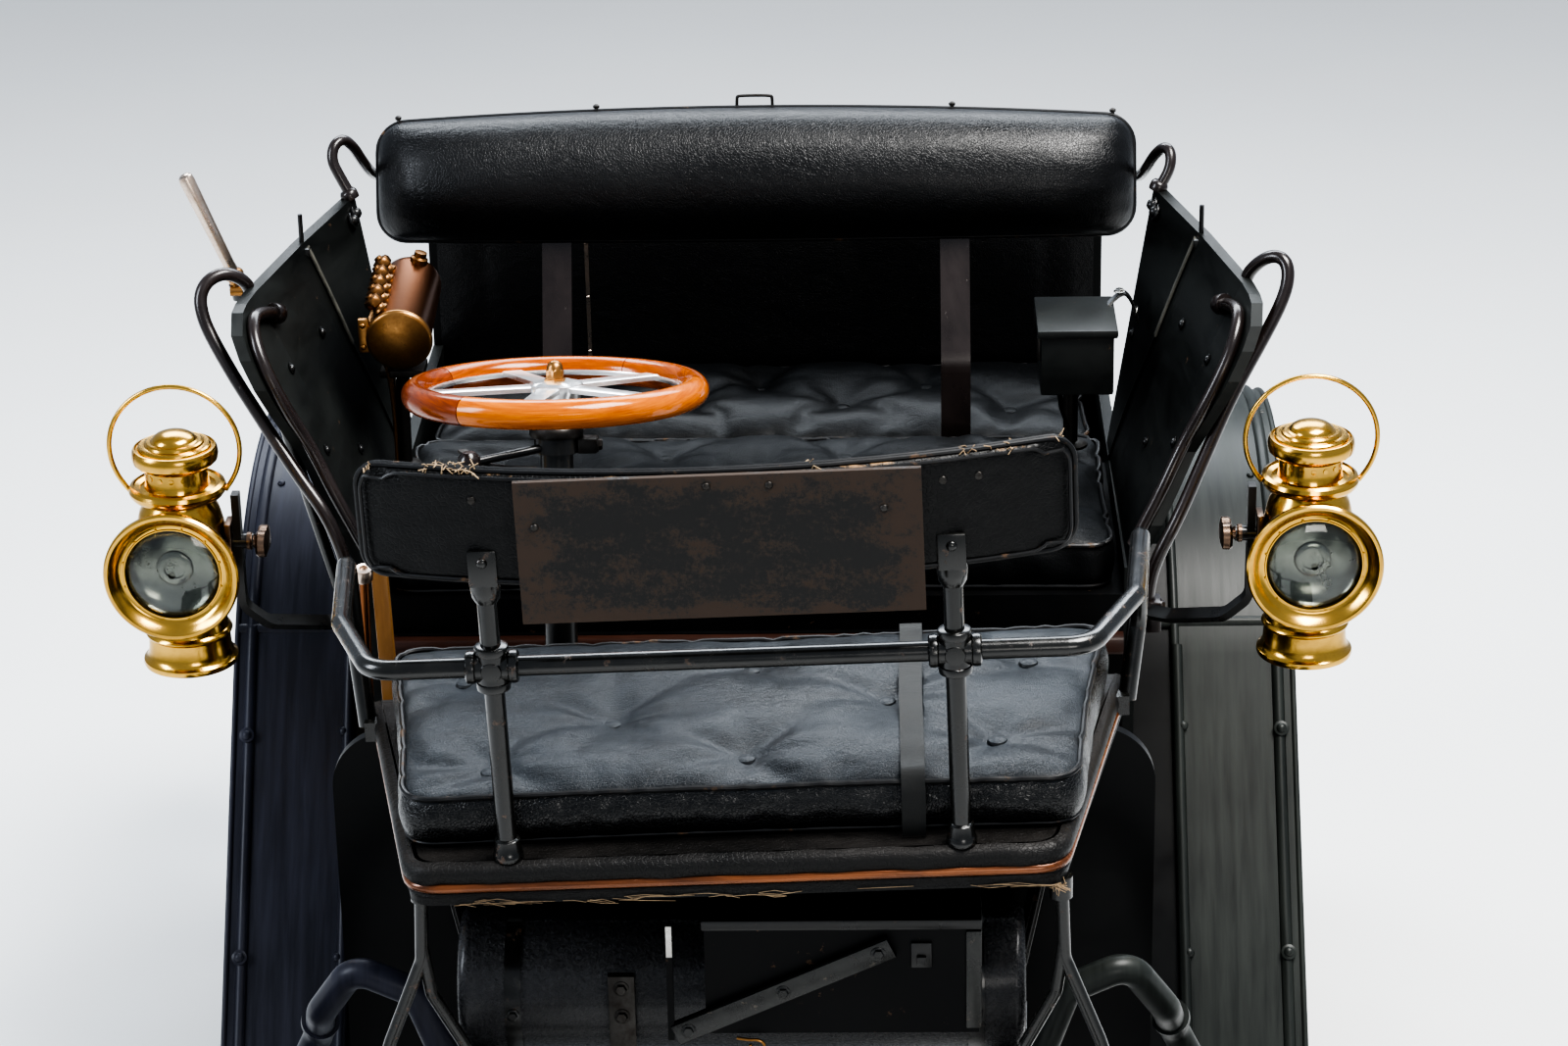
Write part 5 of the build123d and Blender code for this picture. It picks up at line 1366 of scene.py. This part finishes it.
def lubricator():
    a, b = Vector((-0.430, 0.140, 1.209)), Vector((-0.430, 0.300, 1.233))
    d = (b - a).normalized()
    L = (b - a).length
    bm = bmesh.new()
    add_lathe(bm, [(0, 0.004), (0.0385, 0.004), (0.0385, 0.010), (0.0378, 0.012), (0.0378, L - 0.016), (0.0370, L - 0.008), (0.0340, L - 0.002), (0.028, L), (0, L)], a, d, 64)
    drum = finish_mesh("lubricator_drum", bm, MB["copper"], "car_body", 30)
    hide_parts("lubricator")
    bm = bmesh.new()
    add_lathe(bm, [(0, -0.001), (0.0365, -0.001), (0.0395, 0.0005), (0.0410, 0.003), (0.0410, 0.0060), (0.0395, 0.008), (0.020, 0.008), (0, 0.008)], a, d, 64)
    # side flange with its two bolts
    add_box(bm, a + Vector((-0.044, 0.012, 0.004)), (0.014, 0.010, 0.044), None, 0.003)
    for dz in (-0.010, 0.018):
        add_bolt(bm, a + Vector((-0.045, 0.007, dz)), (0, -1, 0), 0.0036, 0.003, "dome", False)
    add_box(bm, a + Vector((-0.040, 0.070, 0.0)), (0.006, 0.100, 0.030), None, 0.002)
    finish_mesh("lubricator_fittings", bm, MB["brass_dull"], "car_body")
    bm = bmesh.new()
    # one row of chunky taps on the upper outer side, and the filler at the far end
    side = Vector((-0.62, 0, 0.78)).normalized()
    for k in range(5):
        p = a + d * (0.024 + 0.0255 * k) + side * 0.0365
        add_lathe(bm, [(0, -0.004), (0.0105, -0.004), (0.0112, 0.002), (0.0085, 0.0045), (0.0080, 0.0075), (0.0108, 0.0095), (0.0116, 0.0160), (0.0104, 0.0200), (0.0052, 0.0218), (0.0048, 0.0245), (0.0, 0.0250)], p, side, 22,
                  lambda t, h: 1 + 0.06 * math.cos(6 * t) if 0.009 < h < 0.019 else 1.0)
    add_lathe(bm, [(0, 0), (0.011, 0), (0.011, 0.006), (0.008, 0.008), (0.008, 0.014), (0, 0.015)], b - d * 0.022 + Vector((0.012, 0, 0.034)), (0.3, 0, 1), 18)
    finish_mesh("lubricator_taps", bm, MB["tap"], "car_body")
    bm = bmesh.new()
    # stand: bracket, pipe bundle and foot
    add_box(bm, (-0.436, 0.215, 1.146), (0.056, 0.046, 0.010), None, 0.002)
    add_tube(bm, smooth_path([(-0.432, 0.212, 1.180), (-0.436, 0.213, 1.150), (-0.440, 0.215, 1.10), (-0.440, 0.215, 1.017)], 5), 0.0085, 14)
    add_lathe(bm, [(0, 0), (0.020, 0), (0.020, 0.003), (0.012, 0.007), (0, 0.007)], (-0.440, 0.215, 1.0155), (0, 0, 1), 28)
    finish_mesh("lubricator_stand", bm, MB["iron"], "car_body")
    bm = bmesh.new()
    for k in range(4):
        p = a + d * (0.030 + 0.027 * k) + Vector((-0.030, 0, 0.006))
        add_tube(bm, smooth_path([p, p + Vector((-0.004, 0, -0.018)), Vector((-0.4475, 0.196 + 0.008 * k, 1.13)), Vector((-0.4495, 0.200 + 0.007 * k, 1.02))], 6), 0.0018, 8)
    finish_mesh("lubricator_pipes", bm, MB["brass_dull"], "car_body")


def coil_details():
    bm = bmesh.new()
    # lid with a rolled edge
    add_box(bm, (0.405, 0.265, 1.1868), (0.1000, 0.1320, 0.0108), None, 0.003)
    add_box(bm, (0.405, 0.265, 1.1450), (0.0906, 0.1206, 0.0800), None, 0.003)
    ob = finish_mesh("coil_case", bm, MB["wing"], "car_body", 30)
    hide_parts("coil_box")
    bm = bmesh.new()
    add_lathe(bm, [(0, 0), (0.022, 0), (0.022, 0.003), (0.014, 0.0068), (0.0092, 0.0075), (0.0092, 0.090), (0, 0.090)], (0.400, 0.265, 1.0155), (0, 0, 1), 28)
    for dx, dy in ((-0.048, -0.05), (-0.048, 0.05)):
        add_box(bm, (0.405 + dx, 0.265 + dy, 1.165), (0.004, 0.012, 0.030), None, 0.001)
    finish_mesh("coil_stand", bm, MB["iron"], "car_body")
    bm = bmesh.new()
    # bright cranked bracket that holds the box to the wing
    pts = smooth_path([(0.447, 0.300, 1.190), (0.462, 0.305, 1.206), (0.474, 0.312, 1.200), (0.484, 0.318, 1.175), (0.487, 0.322, 1.160)], 6)
    add_tube(bm, pts, 0, flat=(0.0018, 0.007), up=(0, 1, 0))
    add_bolt(bm, (0.462, 0.305, 1.2065), (0, 0, 1), 0.005, 0.004)
    add_bolt(bm, (0.484, 0.316, 1.176), (-1, 0, 0.3), 0.005, 0.004)
    finish_mesh("coil_bracket", bm, MB["steel"], "car_body")
    bm = bmesh.new()
    for k in range(3):
        y = 0.232 + 0.033 * k
        add_tube(bm, smooth_path([(0.385, y, 1.106), (0.383, y, 1.085), (0.392, y + 0.008, 1.060), (0.399, 0.262 + 0.003 * k, 1.035)], 5), 0.0022, 8)
    finish_mesh("coil_leads", bm, MB["leather_back"], "car_body")


def lever_details():
    a, b = Vector((-0.650, 0.300, 1.230)), Vector((-0.708, 0.300, 1.374))
    d = (b - a).normalized()
    bm = bmesh.new()
    L = (b - a).length
    add_lathe(bm, [(0.0, 0.016), (0.0078, 0.016), (0.0082, 0.022), (0.0076, 0.030), (0.0082, L * 0.5), (0.0094, L * 0.8), (0.0098, L - 0.008), (0.0088, L - 0.002), (0.005, L + 0.0012), (0, L + 0.0018)], a, d, 32)
    finish_mesh("brake_grip", bm, MB["nickel"], "car_body")
    bm = bmesh.new()
    add_lathe(bm, [(0, -0.010), (0.0125, -0.010), (0.0140, -0.007), (0.0140, -0.002), (0.0105, 0.001), (0.0100, 0.008), (0.0125, 0.011), (0.0125, 0.015), (0.0100, 0.019), (0, 0.019)], a, d, 28)
    add_lathe(bm, [(0, -0.008), (0.006, -0.008), (0.006, 0.008), (0, 0.008)], a + Vector((0, -0.017, -0.004)), (1, 0, 0), 14)
    finish_mesh("brake_collar", bm, MB["brass_dull"], "car_body")
    bm = bmesh.new()
    add_lathe(bm, [(0, 0), (0.022, 0), (0.022, 0.004), (0.016, 0.006), (0, 0.006)], (-0.502, 0.330, 0.540), (-1, 0, 0), 32)
    add_bolt(bm, (-0.508, 0.330, 0.540), (-1, 0, 0), 0.010, 0.008)
    # ratchet quadrant beside the lever
    pts = [Vector((-0.512, 0.330 + 0.150 * math.sin(t), 0.540 + 0.150 * math.cos(t))) for t in [math.radians(-28 + 56 * k / 16) for k in range(17)]]
    add_tube(bm, pts, 0, flat=(0.008, 0.0025), up=(1, 0, 0))
    add_tube(bm, [pts[0], Vector((-0.506, 0.318, 0.548))], 0.005, 8)
    add_tube(bm, [pts[-1], Vector((-0.506, 0.342, 0.548))], 0.005, 8)
    finish_mesh("brake_quadrant", bm, MB["frame"], "car_body")


def mud_details():
    bm = bmesh.new()
    for s in (-1, 1):
        # bolts on the half-round bead and near the inner edge
        t = Vector((0, -0.6018, -0.7986))
        j = Vector((0, 0.7385 + 0.480 * math.cos(math.radians(143)), 0.395 + 0.480 * math.sin(math.radians(143))))
        n = Vector((0, math.cos(math.radians(143)), math.sin(math.radians(143))))
        for x, run in ((0.682, 0.105), (0.5535, 0.100), (0.682, 0.40), (0.5535, 0.40)):
            p = j + t * run + n * (0.0085 if x > 0.6 else 0.006)
            add_bolt(bm, Vector((s * x, p.y, p.z)), n, 0.0068, 0.0058, "dome", x > 0.6)
        for deg in (110, 80, 45, 20):
            a = math.radians(deg)
            n2 = Vector((0, math.cos(a), math.sin(a)))
            p = Vector((0, 0.7385, 0.395)) + n2 * (0.480 + 0.0012)
            add_bolt(bm, Vector((s * 0.566, p.y, p.z)), n2, 0.005, 0.0035, "dome", False)
            add_bolt(bm, Vector((s * 0.66, p.y, p.z)), n2, 0.005, 0.0035, "dome", False)
        for deg in (120, 90, 60, 30):
            a = math.radians(deg)
            n2 = Vector((0, math.cos(a), math.sin(a)))
            p = Vector((0, -0.790, 0.312)) + n2 * (0.356 + 0.0012)
            add_bolt(bm, Vector((s * 0.562, p.y, p.z)), n2, 0.005, 0.0035, "dome", False)
            add_bolt(bm, Vector((s * 0.684, p.y, p.z)), n2, 0.005, 0.0035, "dome", False)
    finish_mesh("mudguard_bolts", bm, MB["mud"], "car_body")
    # dark sheets close the gap between body side and mudguard and stand in for the shade there (painted shade), with a
    # rolled edge
    bm = bmesh.new()
    lip = bmesh.new()
    for s in (-1, 1):
        pts = []
        for k in range(19):
            run = -0.16 + 0.68 * k / 18
            if run < 0:
                a = math.radians(143) + run / 0.480
                p = Vector((0, 0.7385 + 0.474 * math.cos(a), 0.395 + 0.474 * math.sin(a)))
            else:
                p = j + t * run - n * 0.006
            pts.append(p)
        add_tube(bm, [Vector((s * 0.5120, p.y, p.z)) for p in pts], 0, flat=(0.0015, 0.0375), up=(s, 0, 0))
        add_tube(lip, [Vector((s * 0.5480, p.y, p.z)) + n * 0.010 for p in pts[4:]], 0.0075, 12)
    finish_mesh("mudguard_gap_shade_sheets", bm, MB["body"], "car_body")
    finish_mesh("mudguard_inner_tubes", lip, MB["mud"], "car_body", 60)


def rail_details():
    bm = bmesh.new()
    z = 1.191
    for s in (-1, 1):
        x = s * 0.235
        y = -0.762
        # four-way pipe fitting with its beaded ends
        for sign in (-1, 1):
            add_lathe(bm, [(0.0, 0.0), (0.0150, 0.002), (0.0150, 0.0145), (0.0172, 0.0160), (0.0178, 0.0195), (0.0172, 0.0235), (0.0150, 0.0250), (0.0108, 0.0252), (0.0, 0.0252)], (x, y, z), (0, 0, sign), 32)
            add_lathe(bm, [(0.0, 0.0), (0.0150, 0.002), (0.0150, 0.0165), (0.0168, 0.0180), (0.0174, 0.0215), (0.0168, 0.0255), (0.0148, 0.0270), (0.0108, 0.0272), (0.0, 0.0272)], (x, y, z), (sign, 0, 0), 32)
        add_lathe(bm, [(0, 0), (0.0120, 0.012), (0.0100, 0.0165), (0, 0.0175)], (x, y, z), (0, -1, 0), 24)
        # collar at the foot
        add_lathe(bm, [(0.0, 0), (0.0150, 0), (0.0162, 0.002), (0.0160, 0.0060), (0.0148, 0.0095), (0.0142, 0.0110), (0.0135, 0.0230), (0.0108, 0.0250), (0, 0.0250)], (x, y, 0.9722), (0, 0, 1), 36)
    finish_mesh("rail_fittings", bm, MB["rail"], "car_body")


def under_seat():
    bm = bmesh.new()
    # tank bands with their bolts
    for x in (-0.255, 0.262):
        ring = [Vector((x, -0.470 + 0.0852 * math.cos(t), 0.661 + 0.0852 * math.sin(t))) for t in [2 * PI * k / 48 for k in range(48)]]
        add_tube(bm, ring, 0, flat=(0.0010, 0.009), up=(1, 0, 0), cyclic=True)
        add_bolt(bm, (x, -0.5565, 0.661), (0, -1, 0), 0.005, 0.004)
    finish_mesh("tank_bands", bm, MB["rail"], "car_body")
    bm = bmesh.new()
    def knurl(t, h):
        return 1 + 0.025 * math.cos(24 * t)
    add_lathe(bm, [(0, 0), (0.0225, 0), (0.0235, 0.002), (0.0235, 0.013), (0.0220, 0.016), (0.010, 0.0175), (0, 0.0178)], (0.110, -0.470, 0.7555), (0, 0, 1), 72, knurl)
    finish_mesh("tank_cap", bm, MB["brass_dull"], "car_body")
    # box: lid edge, hasp
    bm = bmesh.new()
    add_box(bm, (0.1145, -0.6085, 0.8365), (0.3010, 0.1330, 0.0120), None, 0.002)
    add_box(bm, (0.2000, -0.6735, 0.800), (0.022, 0.004, 0.030), None, 0.001)
    add_box(bm, (0.2000, -0.6765, 0.795), (0.010, 0.006, 0.010), None, 0.001)
    finish_mesh("box_edges", bm, MB["frame"], "car_body")
    bm = bmesh.new()
    add_box(bm, (0.2560, -0.6735, 0.770), (0.016, 0.005, 0.118), None, 0.001)
    add_box(bm, (0.2635, -0.6085, 0.770), (0.003, 0.124, 0.118), None, 0.001)
    finish_mesh("box_end_plate", bm, MB["worn_iron"], "car_body")
    bm = bmesh.new()
    a, b = Vector((-0.066, -0.6805, 0.706)), Vector((0.168, -0.6805, 0.812))
    d = (b - a).normalized()
    add_box(bm, (a + b) / 2, ((b - a).length, 0.0022, 0.0235), (d, Vector((0, 1, 0)), d.cross(Vector((0, 1, 0)))), 0.0008)
    for f in (0.06, 0.5, 0.94):
        add_bolt(bm, a + (b - a) * f + Vector((0, -0.001, 0)), (0, -1, 0), 0.0055, 0.004)
    finish_mesh("diagonal_bar_face", bm, MB["worn_iron"], "car_body")
    bm = bmesh.new()
    # vertical lever with a bright tip, and the cotter pin
    add_tube(bm, [Vector((-0.0705, -0.676, 0.795)), Vector((-0.0705, -0.676, 0.838))], 0, flat=(0.0035, 0.0022), up=(0, 1, 0))
    finish_mesh("lever_tip", bm, MB["steel"], "car_body")
    bm = bmesh.new()
    c = smooth_path([(0.000, -0.6755, 0.700), (0.012, -0.678, 0.699), (0.024, -0.679, 0.700), (0.031, -0.679, 0.694), (0.026, -0.679, 0.686), (0.017, -0.679, 0.688), (0.014, -0.679, 0.694)], 6)
    add_tube(bm, c, 0.0018, 8)
    finish_mesh("cotter_pin", bm, MB["brass_dull"], "car_body")
    bm = bmesh.new()
    # bracket bolted in front of the tank
    add_box(bm, (-0.132, -0.5600, 0.700), (0.030, 0.0080, 0.030), None, 0.001)
    add_box(bm, (-0.132, -0.5640, 0.640), (0.030, 0.005, 0.150), None, 0.001)
    for z in (0.700, 0.665, 0.600):
        add_bolt(bm, (-0.132, -0.5665, z), (0, -1, 0), 0.006, 0.005)
    finish_mesh("tank_bracket", bm, MB["iron"], "car_body")


def chassis_details():
    bm = bmesh.new()
    for s in (-1, 1):
        for y in (-1.12, -1.02, -0.92, -0.80, -0.70, -0.60, -0.50, -0.10, 0.05, 0.30, 0.48, 0.66, 0.80, 0.95, 1.08):
            add_bolt(bm, (s * 0.318, y, 0.532), (s, 0, 0), 0.0065, 0.005, "dome", False)
        for y0, zm in ((-0.790, 0.362), (0.750, 0.449)):
            # U-bolts over the springs
            for dy in (-0.018, 0.018):
                for dx in (-0.029, 0.029):
                    add_tube(bm, [Vector((s * 0.300 + dx, y0 + dy, zm - 0.030)), Vector((s * 0.300 + dx, y0 + dy, zm + 0.022))], 0.0042, 8)
                    add_bolt(bm, (s * 0.300 + dx, y0 + dy, zm - 0.029), (0, 0, -1), 0.007, 0.007, "hex", False)
                add_tube(bm, [Vector((s * 0.300 - 0.029, y0 + dy, zm + 0.021)), Vector((s * 0.300 + 0.029, y0 + dy, zm + 0.021))], 0.0042, 8)
        # grease cups at the spring eyes
        for y in (-1.200, -0.380, 0.372, 1.122):
            add_lathe(bm, [(0, 0), (0.009, 0), (0.009, 0.003), (0.006, 0.004), (0.006, 0.008), (0, 0.009)], (s * (0.318 if y == -1.2 else 0.316), y, 0.480), (s, 0, 0), 18)
        # rivets on the body sides and along the lower edge
        for k in range(9):
            add_bolt(bm, (s * 0.4665, 0.01 + 0.09 * k, 0.592), (s, 0, 0), 0.0045, 0.003, "dome", False)
            add_bolt(bm, (s * 0.4665, 0.01 + 0.09 * k, 0.955), (s, 0, 0), 0.0045, 0.003, "dome", False)
    finish_mesh("chassis_bolts", bm, MB["frame"], "car_body")
    # bolts round the differential flanges
    bm = bmesh.new()
    for x in (-0.076, 0.076):
        for k in range(10):
            t = 2 * PI * k / 10
            add_bolt(bm, (x, 0.750 + 0.084 * math.cos(t), 0.395 + 0.084 * math.sin(t)), (math.copysign(1, x), 0, 0), 0.006, 0.005, "hex", False)
    finish_mesh("axle_bolts", bm, MB["iron"], "car_body")


def wheel_details():
    rows = (("front_left", 1, -0.790, 0.312, 10), ("front_right", -1, -0.790, 0.312, 10), ("rear_left", 1, 0.750, 0.395, 12), ("rear_right", -1, 0.750, 0.395, 12))
    for tag, s, y, R, n in rows:
        body = {"front_left": "front_left_wheel", "front_right": "front_right_wheel", "rear_left": "rear_left_wheel", "rear_right": "rear_right_wheel"}[tag]
        c = Vector((s * 0.620, y, R))
        bm = bmesh.new()
        # hub cap; the hexagon lobes below are not applied
        def hexa(t, h):
            return math.cos(PI / 6) / math.cos((t % (PI / 3)) - PI / 6) if 0.0 < h < 0.020 else 1.0
        add_lathe(bm, [(0.0315, -0.040), (0.0325, -0.038), (0.0325, -0.004), (0.0310, 0.0), (0.0310, 0.0005), (0.0300, 0.001), (0.0285, 0.0015), (0.0, 0.0018)], c + Vector((s * 0.0752, 0, 0)), (s, 0, 0), 48)
        finish_mesh("hub_cap_" + tag, bm, MB["brass_dull"], body)
        bm = bmesh.new()
        for k in range(n):
            t = 2 * PI * k / n
            for side in (-1, 1):
                add_bolt(bm, c + Vector((side * 0.018, 0.050 * math.sin(t), 0.050 * math.cos(t))), (side, 0, 0), 0.0058, 0.005, "hex", False)
        # ferrules where the spokes meet the rim
        for k in range(n):
            t = 2 * PI * (k + 0.5) / n
            d = Vector((0, math.sin(t), math.cos(t)))
            add_lathe(bm, [(0.0112, 0), (0.0140, 0.0), (0.0150, 0.004), (0.0150, 0.010)], c + d * (R - 0.106), tuple(d), 20)
        # tension bolts on the rim
        for k in range(6):
            t = 2 * PI * (k + 0.25) / 6
            d = Vector((0, math.sin(t), math.cos(t)))
            add_bolt(bm, c + d * (R - 0.098), tuple(-d), 0.006, 0.012, "hex", False)
        # valve
        d = Vector((0, math.sin(0.9), math.cos(0.9)))
        add_lathe(bm, [(0, -0.034), (0.0035, -0.034), (0.0035, -0.010), (0.0048, -0.009), (0.0048, 0.0), (0, 0.0)], c + d * (R - 0.098), tuple(d), 12)
        finish_mesh("wheel_bolts_" + tag, bm, MB["iron"], body)
    # rear brake drums, a cable-free drum on the inner side of each rear wheel
    for s, tag in ((1, "left"), (-1, "right")):
        bm = bmesh.new()
        c = Vector((s * 0.620, 0.750, 0.395))
        add_lathe(bm, [(0.040, -0.019), (0.098, -0.019), (0.100, -0.021), (0.100, -0.038), (0.097, -0.040), (0.094, -0.038), (0.094, -0.024), (0.040, -0.023)], c, (s, 0, 0), 72)
        finish_mesh("brake_drum_" + tag, bm, MB["iron"], "rear_left_wheel" if s == 1 else "rear_right_wheel")


def floor():
    me = bpy.data.meshes.new("floor")
    me.from_pydata([(-15, -15, 0), (15, -15, 0), (15, 15, 0), (-15, 15, 0)], [], [(0, 1, 2, 3)])
    ob = bpy.data.objects.new("floor", me)
    bpy.context.scene.collection.objects.link(ob)
    me.materials.append(floor_material())


camera()
lights()
make_materials()
dress_cad()
cushions()
bolster()
PLACE[0] = ASKEW
seat_board()
front_seat_trim()
rail_details()
PLACE[0] = None
steering()
lamps()
wing_details()
interior()
lubricator()
coil_details()
lever_details()
mud_details()
under_seat()
chassis_details()
wheel_details()
floor()
